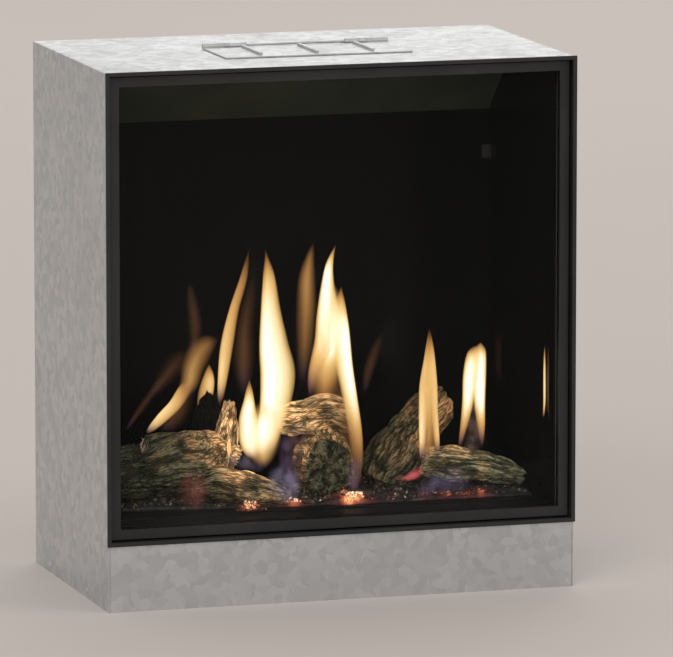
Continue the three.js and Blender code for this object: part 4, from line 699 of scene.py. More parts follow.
def bright_metal(name, colour, roughness, stretch=(1, 1, 1), tarnish=(0.2, 0.15, 0.1), tarnish_share=0.3):
    """A bare metal: drawn or turned grain in its gloss, tarnish in soft patches, and dust on top."""
    material, tree, surface = new_material(name, Metallic=1.0)
    wear, dust, grain = in_use(tree, (0.9, 0.5, 200.0), (0.2, 40.0), (600.0, 45.0), stretch)
    patches = span(tree, grain["Mottle"], 0.42, 0.75, 0.0, tarnish_share)
    tone = mix(tree, span(tree, grain["Grain"], 0.25, 0.75), toned(colour, 0.82), toned(colour, 1.1))
    tone = mix(tree, patches, tone, tarnish)
    gloss = span(tree, grain["Grain"], 0.2, 0.8, roughness - 0.06, roughness + 0.1)
    give(tree, surface, Base_Color=mix(tree, dust, tone, (0.3, 0.28, 0.25)),
         Roughness=maths(tree, "ADD", gloss, maths(tree, "MULTIPLY", patches, 0.5)),
         Normal=raised(tree, grain["Grain"], 0.15, 0.1, wear["Normal"]))
    return material


def moulded(name, colour, roughness, pebble=0.3):
    """Moulded plastic or glazed ceramic: a fine pebbled skin, a faint mottle, and polished edges."""
    material, tree, surface = new_material(name, Metallic=0.0)
    wear, dust, grain = in_use(tree, (0.6, 0.4, 260.0), (0.3, 60.0), (1800.0, 30.0))
    tone = mix(tree, span(tree, grain["Mottle"], 0.3, 0.7), toned(colour, 0.85), toned(colour, 1.15))
    tone = mix(tree, wear["Wear"], tone, tuple(min(1, 1.6 * c + 0.02) for c in colour))
    give(tree, surface, Base_Color=mix(tree, dust, tone, (0.25, 0.24, 0.22)),
         Roughness=span(tree, grain["Grain"], 0.2, 0.8, roughness, roughness + 0.12),
         Normal=raised(tree, grain["Grain"], pebble, 0.15, wear["Normal"]))
    return material


def rope_fibre():
    """Woven glass rope: crossed diagonal strands from two wave textures, dark from heat."""
    material, tree, surface = new_material("rope_fibre", Metallic=0.0, Sheen_Weight=0.2)
    strands = [add(tree, "TexWave", {
        "Vector": object_place(tree, (1, 1, flip)), "Scale": 160.0, "Distortion": 0.6, "Detail": 1.0,
    }, wave_type="BANDS", bands_direction="DIAGONAL").outputs["Fac"] for flip in (1, -1)]
    weave = maths(tree, "MAXIMUM", *strands)
    dark, light = (0.006, 0.006, 0.006), (0.035, 0.033, 0.031)
    give(tree, surface, Base_Color=ramp(tree, weave, [(0.2, dark), (0.9, light)]),
         Roughness=span(tree, weave, 0, 1, 0.95, 0.75), Normal=raised(tree, weave, 0.8, 0.4))
    return material


def bark_fibre(name, colours, charred=0.0):
    """Painted ceramic fibre: grey-green bark, darker in its grooves and lighter on its ridges, which is
    partly the paint's own tone and partly painted shade and highlight; tan and brown where the flames light
    it, which is partly the paint's own tan and partly painted firelight; cut ends, all broken by fine ridges
    and grit.
    The mesh carries how deep, how lit and how near a cut end each point is, and its grain coordinates.
    Firelight on the ridges is painted into the finish, in its colour and as emission, because flames are
    thin."""
    material, tree, surface = new_material(
        name, Metallic=0.0, Specular_IOR_Level=0.12, Emission_Strength=1 - charred)
    groove, lit, end = (attribute(tree, key) for key in ("groove", "lit", "end"))
    grain = attribute(tree, "grain", "Vector")
    relief = use_group(tree, bark_relief(), Grain=grain, Ridge_Width=0.0023).outputs
    patch = cloud(tree, object_place(tree), 42.0, 4, 0.6)
    grit = span(tree, relief["Grit"], 0.3, 0.7, -0.09, 0.09)
    shallow = maths(tree, "MULTIPLY_ADD", relief["Ridges"], -0.62, 0.62)
    depth = maths(tree, "ADD", maths(tree, "ADD", maths(tree, "MULTIPLY", groove, 0.6), shallow), grit)
    # The depth ramps darken the bark in its grooves and lighten it on its ridges: partly the paint's own
    # tone, partly painted shade in the grooves and a painted highlight on the ridges.
    unlit_tone, firelit_tone = (
        ramp(tree, depth, [(at, toned(colour, share)) for at, share in stops]) for colour, stops in (
            (colours.bark, ((0.08, 2.3), (0.34, 1.3), (0.6, 0.5), (0.95, 0.14))),
            (colours.lit_bark, ((0.05, 1.5), (0.3, 1.0), (0.58, 0.36), (0.95, 0.09)))))
    rust = mix(tree, span(tree, patch, 0.42, 0.68), firelit_tone, (0.5, 0.3, 0.22), "MULTIPLY")
    firelit_tone = mix(tree, 0.5, firelit_tone, rust)
    unlit_tone = mix(tree, span(tree, patch, 0.35, 0.7, 0.0, 0.4), unlit_tone, toned(colours.bark, 0.6))
    # How far the flames light each point, from the mesh, less on cut ends: it blends in the tan, which is
    # partly the paint's own tan and partly painted firelight.
    firelight_share = span(tree, maths(tree, "ADD", lit, span(tree, patch, 0.3, 0.7, -0.16, 0.16)), 0.12, 0.8)
    firelight_share = maths(tree, "MULTIPLY", firelight_share, maths(tree, "MULTIPLY_ADD", end, -0.8, 1.0))
    # Pale raises the tone along each log, partly the paint's own tone and partly painted firelight; the
    # emission below follows it.
    tone = scaled(tree, mix(tree, firelight_share, unlit_tone, firelit_tone), attribute(tree, "pale"))
    if charred:
        tone = mix(tree, charred, tone, (0.006, 0.0055, 0.005))
    # Painted firelight: the bark's tone given again as emission, strongest where the flames are near.
    painted_firelight_glow = maths(tree, "MULTIPLY", firelight_share, span(tree, lit, 0.25, 0.9, 0.3, 2.4))
    height = maths(tree, "ADD", relief["Ridges"], maths(tree, "MULTIPLY", relief["Grit"], 0.35))
    give(tree, surface, Base_Color=tone, Emission_Color=scaled(tree, tone, painted_firelight_glow),
         Roughness=span(tree, relief["Grit"], 0.2, 0.8, 0.82, 0.97), Normal=raised(tree, height, 0.9, 0.7))
    return material


def ember_fibre(colours):
    """Ember chips and vermiculite: black, brown and pale flakes, with a glow where the mesh says so, and
    painted
    firelight: their own colour tinted warm and given as emission where the flames light them.
    """
    material, tree, surface = new_material("ember_chips", Metallic=0.0, Emission_Strength=1.3)
    tone, glow = attribute(tree, "tone"), attribute(tree, "glow")
    fine = cloud(tree, object_place(tree), 700.0, 5, 0.6)
    colour = ramp(tree, tone, [
        (0.0, (0.003, 0.003, 0.003)), (0.5, tuple(colours.ember)), (0.78, (0.14, 0.115, 0.085)),
        (1.0, (0.75, 0.68, 0.58)),
    ])
    shade = span(tree, fine, 0.35, 0.7, 0.0, 0.5)
    heat = maths(tree, "MULTIPLY", glow, span(tree, fine, 0.3, 0.62, 0.5, 1.0))
    glowing = ramp(tree, heat, [
        (0.0, (0.0, 0.0, 0.0)), (0.18, (0.05, 0.006, 0.005)), (0.38, (0.45, 0.1, 0.04)),
        (0.56, (1.0, 0.48, 0.18)), (0.72, (1.0, 0.88, 0.6)),
    ])
    # Painted firelight: the flakes' colour tinted warm and scaled by how lit the mesh says they are, added to
    # the glow as emission.
    firelight_tinted_colour = mix(tree, 1.0, colour, (1.0, 0.72, 0.5), "MULTIPLY")
    shine = scaled(tree, firelight_tinted_colour, attribute(tree, "lit"))
    give(tree, surface, Base_Color=mix(tree, shade, colour, (0.01, 0.009, 0.008)),
         Emission_Color=mix(tree, 1.0, glowing, shine, "ADD"),
         Roughness=span(tree, fine, 0.2, 0.8, 0.4, 0.95), Normal=raised(tree, fine, 0.5, 0.3))
    return material


def flame_light(name, rise=0.12, scale=160.0, thin=0.8):
    """Burning gas: the mesh's own colour as emission, its own density as alpha, thinned in soft streaks."""
    material, tree, surface = new_material(
        name, Base_Color=(0, 0, 0), Roughness=1.0, Specular_IOR_Level=0.0, Emission_Strength=1.0)
    streaks = cloud(tree, object_place(tree, (1, 1, rise)), scale, 2)
    density = maths(tree, "MULTIPLY", attribute(tree, "veil"), span(tree, streaks, 0.35, 0.65, thin, 1.0))
    give(tree, surface, Emission_Color=attribute(tree, "glow", "Vector"), Alpha=density)
    material.cycles.emission_sampling = "NONE"
    return material


def dress(material, *names):
    """Puts a material on CAD nodes, whose meshes stay as they are."""
    for name in names:
        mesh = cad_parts[name].data
        mesh.materials.clear()
        mesh.materials.append(material)


# Sizes and colours

def length_property(name, description, default, low=0.0):
    return FloatProperty(name=name, description=description, default=default, min=low, unit="LENGTH")


def colour_property(name, description, default):
    return FloatVectorProperty(name=name, description=description, default=default, size=3, min=0, max=1,
                               subtype="COLOR")


class GasFireSizes(PropertyGroup):
    """Sizes that the logs, embers and flames are made with."""

    pile_height: length_property("Pile height", "Height of the pile of logs over the tray", 0.12, 0.02)
    bark_depth: length_property("Bark depth", "Depth of the grooves between the ridges of bark", 0.0026)
    bark_spacing: length_property("Bark spacing", "Distance from one ridge to the next", 0.0072, 0.002)
    chip_size: length_property("Chip size", "Radius of a middling ember chip", 0.0012, 0.0005)
    chip_count: IntProperty(
        name="Chip count", description="Number of loose ember chips on the bed", default=6800, min=0)
    flame_depth: FloatProperty(
        name="Flame depth", description="Depth of a flame from front to back as a share of its width",
        default=0.62, min=0.1, subtype="FACTOR")


class GasFireColours(PropertyGroup):
    """Colours that the finishes are made with."""

    paint: colour_property("Paint", "Black paint of the frames", (0.0165, 0.0165, 0.016))
    lining: colour_property("Lining", "Black glass of the lining", (0.0045, 0.0045, 0.0045))
    zinc: colour_property("Zinc", "Galvanised sheet of the case", (0.56, 0.57, 0.575))
    bark: colour_property("Bark", "Bark away from the flames", (0.088, 0.09, 0.052))
    # Lit bark: the tan of bark near the flames, partly the paint's own tan and partly painted firelight.
    lit_bark: colour_property("Lit bark", "Bark that the flames play on", (0.58, 0.34, 0.15))
    ember: colour_property("Ember", "Ember chips that don't glow", (0.022, 0.02, 0.018))
    floor: colour_property("Floor", "Studio floor", (0.565, 0.515, 0.488))


# Logs

def log_axis(shares, pile_height):
    """A log's axis points in metres, with the radius in the fourth column."""
    rows = np.array(shares["axis"])
    half = TRAY_HIGH.x
    depth = TRAY_HIGH.y - TRAY_LOW.y
    return np.stack([
        rows[:, 0] * half, TRAY_LOW.y + rows[:, 1] * depth, TRAY_HIGH.z + rows[:, 2] * pile_height,
        rows[:, 3] * pile_height,
    ], -1)


def firelight(points):
    """How strongly the flames light each point: places up the hot flames' middles, each falling off with the
    square of its distance, as a share that levels off at 1."""
    hot, places, half_lit, strength = 0.83, np.linspace(0, 0.8, 12), 17, 0.04
    light = np.zeros(len(points))
    for _, rows in FLAMES.values():
        table = np.array(rows, float)
        if table[:, 4].max() > hot:
            middles = spline(table, places)
            gap = np.linalg.norm(points[:, None, :] / MM - middles[None, :, :3], axis=-1)
            power = np.clip(middles[:, 4], 0, 1) ** 2 * middles[:, 5] * middles[:, 3]
            light += (power / (1 + (gap / half_lit) ** 2)).sum(1)
    return 1 - np.exp(-strength * light)


def around_log(angle, steps, turns, pitch, seed):
    """Noise that closes on itself round a log: a few cells round it, and one to each pitch along it."""
    x, y = turns * np.cos(angle) + 0 * steps, turns * np.sin(angle) + 0 * steps
    return noise(np.stack([x, y, steps / pitch], -1), seed)


def bark_grooves(angle, steps, radius, spacing, seed):
    """How deep each point lies in the bark, with 0 on a ridge: narrow valleys of noise at the bark's spacing,
    finer ones between them, and grit, all stretched along the log."""
    def cells(share, stretch, number):
        width = spacing * share
        return around_log(angle, steps, radius / width, width * stretch, seed + number)

    deep = np.exp(-((2 * cells(1, 4.5, 1) - 1) / 0.24) ** 2)
    middle = np.exp(-((2 * cells(0.42, 5, 2) - 1) / 0.3) ** 2)
    return np.clip(0.75 * deep + 0.5 * middle + 0.3 * cells(0.22, 4, 3) - 0.14, 0, 1.15)


def log_end(ring, centre, out, groove, spread, angle, sawn, seed, number, cap):
    """The rings of one end from rim to middle, sawn with faint growth rings and cracks or broken off rough,
    and with them how deep each point is, its grain coordinates and how far it is from the rim."""
    ring_depth, crack_depth, fine_rings, fine_cracks = 0.0005, 0.003, 34, 22
    inward = np.linspace(1, 0, cap + 1)[1:-1, None]
    x, y = inward * np.cos(angle), inward * np.sin(angle)

    def patches(scale, height, key):
        return noise(np.stack([x * scale, y * scale, 0 * x + height], -1), seed + key)

    rough = patches(6, number, 7) - 0.5 + 0.6 * (patches(15, number, 8) - 0.5)
    wobble = patches(3, number + 9, 9)
    rings = 0.5 + 0.5 * np.cos((inward + 0.3 * wobble) * fine_rings)
    cracks = sum(np.exp(-(np.sin((angle - at + 0.5 * (wobble - 0.5)) / 2) * inward * fine_cracks) ** 2)
                 * smooth_step(inward, 0.05, 0.5) for at in CRACK_ANGLES)
    inside = smooth_step(1 - inward, 0.0, 0.12)
    relief = sawn * (-ring_depth * rings - crack_depth * cracks) + (0.004 + 0.005 * (1 - sawn)) * rough
    relief = relief * inside + 0.004 * (1 - sawn) * (1 - inward ** 2)
    mark = sawn * (0.2 * rings + 0.9 * cracks + 0.2) + (1 - sawn) * 0.3 - 1.4 * rough
    marks = groove * (1 - inside) + np.clip(mark, 0, 1) * inside
    rows = centre + (ring - centre) * inward[..., None] + out * relief[..., None]
    return rows, marks, np.stack([x * spread, y * spread, 0 * x], -1), inside + 0 * x


def tear(points, edge, level, back, seed):
    """Lowers the points past a ragged edge across a log, as far as a rough step at a level."""
    rough = sum(height * (noise(points / size, seed + key) - 0.5)
                for size, height, key in ((0.006, 0.004, 5), (0.0025, 0.003, 6)))
    step = edge + 0.3 * (points[:, 1] - back)
    torn = smooth_step(step - points[:, 0] + 2 * rough, -0.001, 0.0015)
    points[:, 2] -= torn * 0.85 * np.maximum(points[:, 2] - level - rough, 0)


def log_surface(name, shares, sizes, around=240, along=176, cap=30):
    """A log as a grid of rings: radius = the axis's own, times low waves round and along it, less the bark's
    grooves, and jagged towards the ends, whose last rings close in to a pole."""
    seed = sum(map(ord, name))
    shares = {**LOG_PLAIN, **shares}
    phase, sawn = shares["phase"], shares["sawn"]
    end_rounding, jag_reach, lump_pitch, lump_height, grain_stretch = 0.006, 0.016, 0.026, 0.003, 4.6
    s = np.linspace(0, 1, along)
    axis = log_axis(shares, sizes.pile_height)
    line = spline(axis, s)
    tangent, side, rise = frames_along(line[:, :3])
    length = np.linalg.norm(np.diff(line[:, :3], axis=0), axis=1).sum()
    radius = np.interp(s * (len(axis) - 1), np.arange(len(axis)), axis[:, 3])[:, None]
    angle = np.linspace(0, 2 * np.pi, around, endpoint=False)[None, :]
    share = s[:, None]
    waves = (0.6 * np.sin(angle * 3 + share * 5 + phase) + 0.4 * np.sin(angle * 5 - share * 9 + phase * 2)
             + 0.4 * np.sin(share * 11 + phase))
    plain = radius * (1 + shares["lumps"] * waves)
    plain = plain * (1 - 0.1 * np.exp(-np.minimum(s, 1 - s) * length / end_rounding)[:, None])

    steps = share * length * np.ones_like(angle)
    turned = angle + 0.5 * (around_log(angle, steps, 1.6, lump_pitch, seed) - 0.5)
    lumpy = around_log(angle, steps, 2.2, lump_pitch, seed + 4) - 0.5
    groove = bark_grooves(turned, steps, radius, sizes.bark_spacing * shares["spacing"], seed)
    depth = min(sizes.bark_depth, 0.1 * float(radius.min()) + 0.001)
    skin = plain - depth * groove + lump_height * lumpy
    ring = rings_round(line[:, :3], side, rise, angle, skin * shares["width"], skin)
    grain = np.stack([np.cos(turned) * radius, np.sin(turned) * radius, steps / grain_stretch], -1)

    jag = shares["jag"] * sizes.pile_height * 0.5 * np.sin(angle[0] * 2 + phase)
    sides = ((0, -1), (-1, 1))
    for index, way in sides:
        reach = np.exp(-np.abs(s - s[index]) * length / jag_reach)[:, None, None]
        ring = ring + reach * way * jag[None, :, None] * tangent[index]
    ends = [log_end(ring[index], line[index, :3], way * tangent[index], groove[index], float(radius.mean()),
                    angle, sawn, seed, number, cap) for number, (index, way) in enumerate(sides, 1)]
    middles = (ring, groove, grain, np.zeros(groove.shape))
    rows, marks, grains, cuts = (np.concatenate([ends[0][k][::-1], middles[k], ends[1][k]]) for k in range(4))
    # Pale from one end's value to the other's: partly the paint's own tone, partly painted firelight.
    pale = np.interp(np.arange(len(rows)), (cap, cap + along), shares["pale"])
    points = with_poles(rows)
    if shares["torn"]:
        edge, top = shares["torn"]
        tear(points, edge * TRAY_HIGH.x, TRAY_HIGH.z + top * sizes.pile_height, axis[1, 1], seed)
    points[:, 0] = np.clip(points[:, 0], -(LINER_FACE - LOG_GAP), LINER_FACE - LOG_GAP)
    quads, fans = closed_faces(len(rows), around)
    return mesh_from(name, points, quads, fans, {
        "groove": with_poles(marks), "grain": with_poles(grains), "lit": firelight(points),
        "end": (0.35 + 0.65 * sawn) * with_poles(cuts),
        "pale": with_poles(np.repeat(pale[:, None], around, axis=1)),
    })


def splinters():
    """Pale slivers at the left log's torn step: thin tapering closed tubes along short bent lines."""
    rng = np.random.default_rng(8)
    number, around, along = 9, 8, 14
    s = np.linspace(0, 1, along)
    angle = np.linspace(0, 2 * np.pi, around, endpoint=False)[None, :]
    forms = []
    for _ in range(number):
        foot = np.array([rng.uniform(-194, -188), rng.uniform(-76, -62), rng.uniform(150, 159)])
        top = foot + np.array([rng.uniform(0, 6), rng.uniform(-3, 3), rng.uniform(6, 11)])
        bend = (foot + top) / 2 + rng.uniform(-2.5, 2.5, 3)
        line = spline(np.array([foot, bend, top]) * MM, s)
        _, side, rise = frames_along(line)
        wide = (rng.uniform(0.35, 0.8) * MM * (1.05 - s ** 2))[:, None]
        ring = rings_round(line, side, rise, angle, wide, wide / 2)
        points = np.concatenate([ring.reshape(-1, 3), line[[0, -1]]])
        quads, fans = closed_faces(along, around)
        plain = np.zeros(len(points))
        # The even lit value gives the splinters painted firelight in the ember finish.
        forms.append((points, quads, fans, {
            "tone": plain + rng.uniform(0.8, 1.0), "glow": plain, "lit": plain + 0.3}))
    return mesh_from("splinters", *several(forms))


# Embers

def bed_spot(across, back):
    """A point's place in the bed: across runs the tray's width, back runs from the bed's bowed front edge,
    which stands further back on the left, to its rear edge."""
    bow, set_back = 0.004, 0.034
    front = TRAY_LOW.y + set_back * (1 - across) ** 2 + bow + np.sin(across * np.pi * 3) * bow / 2
    return BED_HIGH.x * (across * 2 - 1), front + (BED_HIGH.y - front) * back


def bed_height(across, back):
    """The bed's top: a rise from the front edge towards the rear and the left, with low waves on it and a
    small heap under each brightly glowing place."""
    layer, heap_height, heap_reach = 0.009, 0.0042, 0.013
    x, y = bed_spot(across, back)
    heap = np.max([
        heap_height * strength ** 2 * np.exp(-(np.hypot(x - at_x * MM, y - at_y * MM) / heap_reach) ** 2)
        for at_x, at_y, _, _, strength in GLOWS], axis=0)
    lump = sum(height * np.sin((u * x + v * (y - FRAME_FRONT)) / BED_HIGH.x + start)
               for height, u, v, start in BED_WAVES)
    rise = 0.45 + 0.75 * np.sqrt(np.minimum(1, back * 2)) * (1 - 0.3 * across)
    return BED_LOW.z + layer * (rise + lump) + heap


def glow_at(points):
    """Glow of the bed: the strongest of the glowing places, each a bell curve over its reach."""
    glow = np.zeros(len(points))
    for x, y, z, reach, strength in GLOWS:
        gap = np.linalg.norm((points - np.array([x, y, z]) * MM) * np.array([1, 0.8, 1]), axis=-1)
        glow = np.maximum(glow, strength * np.exp(-(gap / (reach * MM)) ** 2))
    return glow


def bed_surface(columns=300, rows=80):
    """The bed as rings across the tray: each ring runs back over the top, whose height has grains of noise on
    it, and forward again along the flat underside."""
    across = np.linspace(0.001, 0.999, columns)[:, None]
    back = np.linspace(0, 1, rows)[None, :]
    x, y = np.broadcast_arrays(*bed_spot(across, back))
    top = bed_height(across, back)
    where = np.stack([x, y, 0 * x], -1)
    grains = noise(where / 0.0042, 3) * 0.0026 + noise(where / 0.0019, 4) * 0.0012
    edge = (smooth_step(np.minimum(back, 1 - back), 0, 0.03)
            * smooth_step(np.minimum(across, 1 - across), 0, 0.01))
    rim, sunk = 0.0022, 0.0015
    low = BED_LOW.z + rim
    top = low + (top + grains - sunk - low) * edge
    upper = np.stack([x, y, top], -1)
    under = np.stack([x, y, np.full_like(top, BED_LOW.z)], -1)[:, ::-1]
    ring = np.concatenate([upper, under], 1)
    points = with_poles(ring)
    quads, fans = closed_faces(columns, rows * 2)
    tone = np.clip(noise(points / 0.006, 8) * 0.9 - 0.15, 0, 1)
    return mesh_from("ember_bed_surface", points, quads, fans, {
        "tone": tone, "glow": glow_at(points) * 0.8, "lit": firelight(points),
    })


def chip_form():
    """The twelve corners and twenty faces of an icosahedron of radius 1."""
    g = (1 + 5 ** 0.5) / 2
    corners = np.array([(0, a, b * g) for a in (-1, 1) for b in (-1, 1)], float)
    corners = unit(np.concatenate([np.roll(corners, k, axis=1) for k in range(3)]))
    gap = np.linalg.norm(corners[:, None] - corners[None], axis=-1)
    near = (gap > 0.5) & (gap < 1.2)
    faces = [(a, b, c) for a in range(12) for b in range(a + 1, 12) for c in range(b + 1, 12)
             if near[a, b] and near[b, c] and near[a, c]]
    faces = np.array(faces)
    a, b, c = (corners[faces[:, k]] for k in range(3))
    inward = np.einsum("ij,ij->i", np.cross(b - a, c - a), a) < 0
    faces[inward] = faces[inward][:, ::-1]
    return corners, faces


def turns(quaternions):
    """Rotation matrices from quaternions of any length."""
    w, i, j, k = unit(quaternions).T
    return np.stack([
        1 - 2 * (j * j + k * k), 2 * (i * j - k * w), 2 * (i * k + j * w),
        2 * (i * j + k * w), 1 - 2 * (i * i + k * k), 2 * (j * k - i * w),
        2 * (i * k - j * w), 2 * (j * k + i * w), 1 - 2 * (i * i + j * j),
    ], -1).reshape(-1, 3, 3)


def chips(sizes, name, seed):
    """Loose chips: the same faceted form many times, each stretched, dented and turned by its own random
    numbers, and laid on the bed's top, mostly along its front, with a few piled in a heap."""
    rng = np.random.default_rng(seed)
    count = sizes.chip_count
    corners, faces = chip_form()
    across = rng.uniform(0.01, 0.99, count)
    back = rng.beta(0.8, 2.6, count) * 0.97 + 0.005
    x, y = bed_spot(across, back)
    bright = rng.random(count) < 0.06
    size = sizes.chip_size * rng.lognormal(0, 0.42, count) * np.where(bright, 0.7, 1)
    heap_x, heap_y, heap_width, heap_depth, heap_height, heap_count = HEAP
    piled = np.arange(count) < heap_count
    size = np.where(piled, np.minimum(size, 0.9 * sizes.chip_size), size)
    z = bed_height(across, back) + size * rng.uniform(-0.1, 0.9, count)
    beside, before, over = rng.normal(size=(3, count))
    x = np.where(piled, (heap_x + heap_width * beside) * MM, x)
    y = np.where(piled, (heap_y + heap_depth * before) * MM, y)
    pile = heap_height * MM * np.exp(-(beside / 1.7) ** 2) * np.minimum(np.abs(over) / 2, 1)
    z = np.where(piled, TRAY_HIGH.z + 0.001 + pile, z)
    centre = np.stack([x, y, z], -1)
    stretch = rng.uniform(0.6, 1.35, (count, 3))
    spin = turns(rng.normal(size=(count, 4)))
    corner_count = len(corners)
    dent = rng.uniform(0.75, 1.15, (count, corner_count, 1))
    shape = corners[None] * dent * stretch[:, None, :] * size[:, None, None]
    points = (np.einsum("nij,nkj->nki", spin, shape) + centre[:, None, :]).reshape(-1, 3)
    points[:, 2] = np.maximum(points[:, 2], TRAY_HIGH.z + 0.0001)
    points[:, 0] = np.clip(points[:, 0], -(LINER_FACE - CHIP_GAP), LINER_FACE - CHIP_GAP)
    index = (faces[None] + corner_count * np.arange(count)[:, None, None]).reshape(-1, 3)
    pale_middle, pale_reach = -0.045, 0.07
    tone = rng.beta(0.75, 2.0, count)
    tone += 0.45 * np.exp(-((centre[:, 0] - pale_middle) / pale_reach) ** 2) * rng.uniform(0, 1, count)
    tone = np.where(bright, rng.uniform(0.85, 1.0, count), np.minimum(tone, 0.8))
    glow = glow_at(centre) * (0.2 + 1.3 * rng.beta(0.7, 0.9, count))
    values = {"tone": np.clip(tone, 0, 1), "glow": np.clip(glow, 0, 1), "lit": firelight(centre)}
    return mesh_from(name, points, np.zeros((0, 4), int), index,
                     {key: np.repeat(each, corner_count) for key, each in values.items()})


# Flames

def gas_shells(name, rows, layers, heart_side, depth, tint=None, around=16, along=40):
    """Burning gas as closed shells one inside another: each is rings of an ellipse up the middle line, as
    wide as the flame times the shell's share, moved towards the heart's side as it narrows, with its ends
    drawn in. Inner shells are hotter. A tinted haze has one colour throughout and no column for heat."""
    table = np.array(rows, float)
    table[:, :4] *= MM
    angle = np.linspace(0, 2 * np.pi, around, endpoint=False)[None, :]
    back = np.array([[0, 1.0, 0]])
    stops = np.array(HEAT_COLOURS)
    forms = []
    for width_share, opacity in layers:
        inward = (1 - width_share) / (1 - layers[-1][0])
        low, high = 0.05 * inward, 1 - 0.22 * inward
        s = np.linspace(low, high, along)
        line = spline(table, s)
        tangent, _, _ = frames_along(line[:, :3])
        across = unit(np.cross(back, tangent))
        across = across * np.sign(across[:, :1].sum() or 1)
        tip = 0.1 + 0.9 * np.sqrt(smooth_step(-s, -high, -high + 0.12))
        foot_width = 0.55 + 0.45 * np.sqrt(smooth_step(s, low, low + 0.1))
        width = (np.maximum(line[:, 3], 0.0003) * width_share * tip * foot_width)[:, None]
        middle = line[:, :3] + across * (heart_side * (1 - width_share) * line[:, 3])[:, None]
        ring = rings_round(middle, across, back, angle, width, width * depth)
        points = np.concatenate([ring.reshape(-1, 3), middle[[0, -1]]])
        if tint is None:
            heat = np.clip(line[:, 4] * (0.62 + 0.38 * inward ** 0.8), 0, 1)
            colour = np.stack([np.interp(heat, HEAT_STOPS, channel) for channel in stops.T], -1)
            foot = 0.6 * (1 - smooth_step(s, 0.0, 0.24))[:, None]
            colour = colour * (1 - foot) + np.array(FOOT_COLOUR) * foot
            veil = opacity * line[:, -1] * smooth_step(s, -0.02, 0.2)
        else:
            colour = np.tile(np.array(tint), (along, 1))
            veil = opacity * line[:, -1]
        attributes = {key: with_poles(np.repeat(values[:, None], around, axis=1)) for key, values in (
            ("glow", colour), ("veil", np.clip(veil, 0, 0.9)))}
        quads, fans = closed_faces(along, around)
        forms.append((points, quads, fans, attributes))
    return mesh_from(name, *several(forms))


# Operators

class GASFIRE_OT_case(Operator):
    """Dresses the galvanised case, stand, relief flap and flue."""

    bl_idname = "gasfire.case"
    bl_label = "Case and flue"

    def execute(self, context):
        dress(galvanised(context.scene.gas_fire_colours),
              "case_left", "case_right", "case_base", "case_top", "case_back", "case_apron", "firebox_stand",
              "relief_flap", "relief_hinge", "valve_bracket", "flue_box", "flue_collar")
        dress(bright_metal("flue_steel", (0.58, 0.585, 0.59), 0.28, (6, 0.4, 6), (0.3, 0.29, 0.28)),
              "flue_inner_pipe")
        return {"FINISHED"}


class GASFIRE_OT_surround(Operator):
    """Dresses the painted edge frame and window frame, the pane, its seal, bead, hinge rod and catch."""

    bl_idname = "gasfire.surround"
    bl_label = "Frame and window"

    def execute(self, context):
        dress(black_paint(context.scene.gas_fire_colours.paint), "edge_frame", "window_frame")
        dress(black_paint((0.0055, 0.0055, 0.006), "inner_black_paint", 0.5, 0.2, 0.05, 0.2),
              "glass_bead", "window_catch")
        dress(bright_metal("rod_steel", (0.5, 0.5, 0.51), 0.3, (0.2, 6, 6)), "window_hinge_rod")
        dress(window_pane(), "window_glass")
        dress(rope_fibre(), "window_seal")
        return {"FINISHED"}


class GASFIRE_OT_lining(Operator):
    """Dresses the painted firebox, the black glass lining, its clips and the sloping baffle."""

    bl_idname = "gasfire.lining"
    bl_label = "Firebox and lining"

    def execute(self, context):
        # The firebox's paint is a darker, duller copy of the frame's black paint: painted shade inside the
        # firebox.
        dress(black_paint((0.0045, 0.0045, 0.0048), "firebox_black_paint_darkened_for_shade", 0.6, 0.15, 0.03, 0.12),
              "firebox_flange", "firebox_floor", "firebox_ceiling", "firebox_wrap", "front_ledge",
              "burner_tray", "relief_duct")
        dress(black_paint((0.046, 0.056, 0.036), "baffle_dark_paint", 0.55, 0.1), "baffle")
        dress(lining_glass(context.scene.gas_fire_colours), "liner_left", "liner_right", "liner_back")
        dress(bright_metal("clip_steel", (0.1, 0.1, 0.1), 0.4), "liner_clip_left", "liner_clip_right")
        return {"FINISHED"}


class GASFIRE_OT_gas_train(Operator):
    """Dresses the valve and its controls, the pipes, the tap, the receiver, the pilot and the injector."""

    bl_idname = "gasfire.gas_train"
    bl_label = "Valve, pipes and pilot"

    def execute(self, context):
        dress(bright_metal("machined_brass", (0.62, 0.44, 0.18), 0.26, tarnish=(0.22, 0.14, 0.05)),
              "air_shutter", "injector", "gas_tap", "pilot_burner")
        dress(bright_metal("drawn_copper", (0.66, 0.31, 0.17), 0.3, (1, 1, 0.3), (0.16, 0.07, 0.04), 0.5),
              "supply_pipe", "burner_pipe", "pilot_pipe", "thermocouple")
        dress(bright_metal("bright_steel", (0.52, 0.52, 0.53), 0.3),
              "venturi_tube", "tap_lever", "pilot_bracket")
        dress(bright_metal("cast_alloy", (0.4, 0.41, 0.42), 0.5, tarnish=(0.25, 0.25, 0.25)), "gas_valve")
        dress(moulded("black_plastic", (0.018, 0.018, 0.019), 0.45),
              "flow_knob", "manual_knob", "receiver_box", "battery_lid")
        dress(moulded("red_plastic", (0.45, 0.02, 0.015), 0.25, 0.08), "igniter_button")
        dress(moulded("ceramic_insulator", (0.72, 0.69, 0.62), 0.2, 0.05), "spark_electrode")
        return {"FINISHED"}


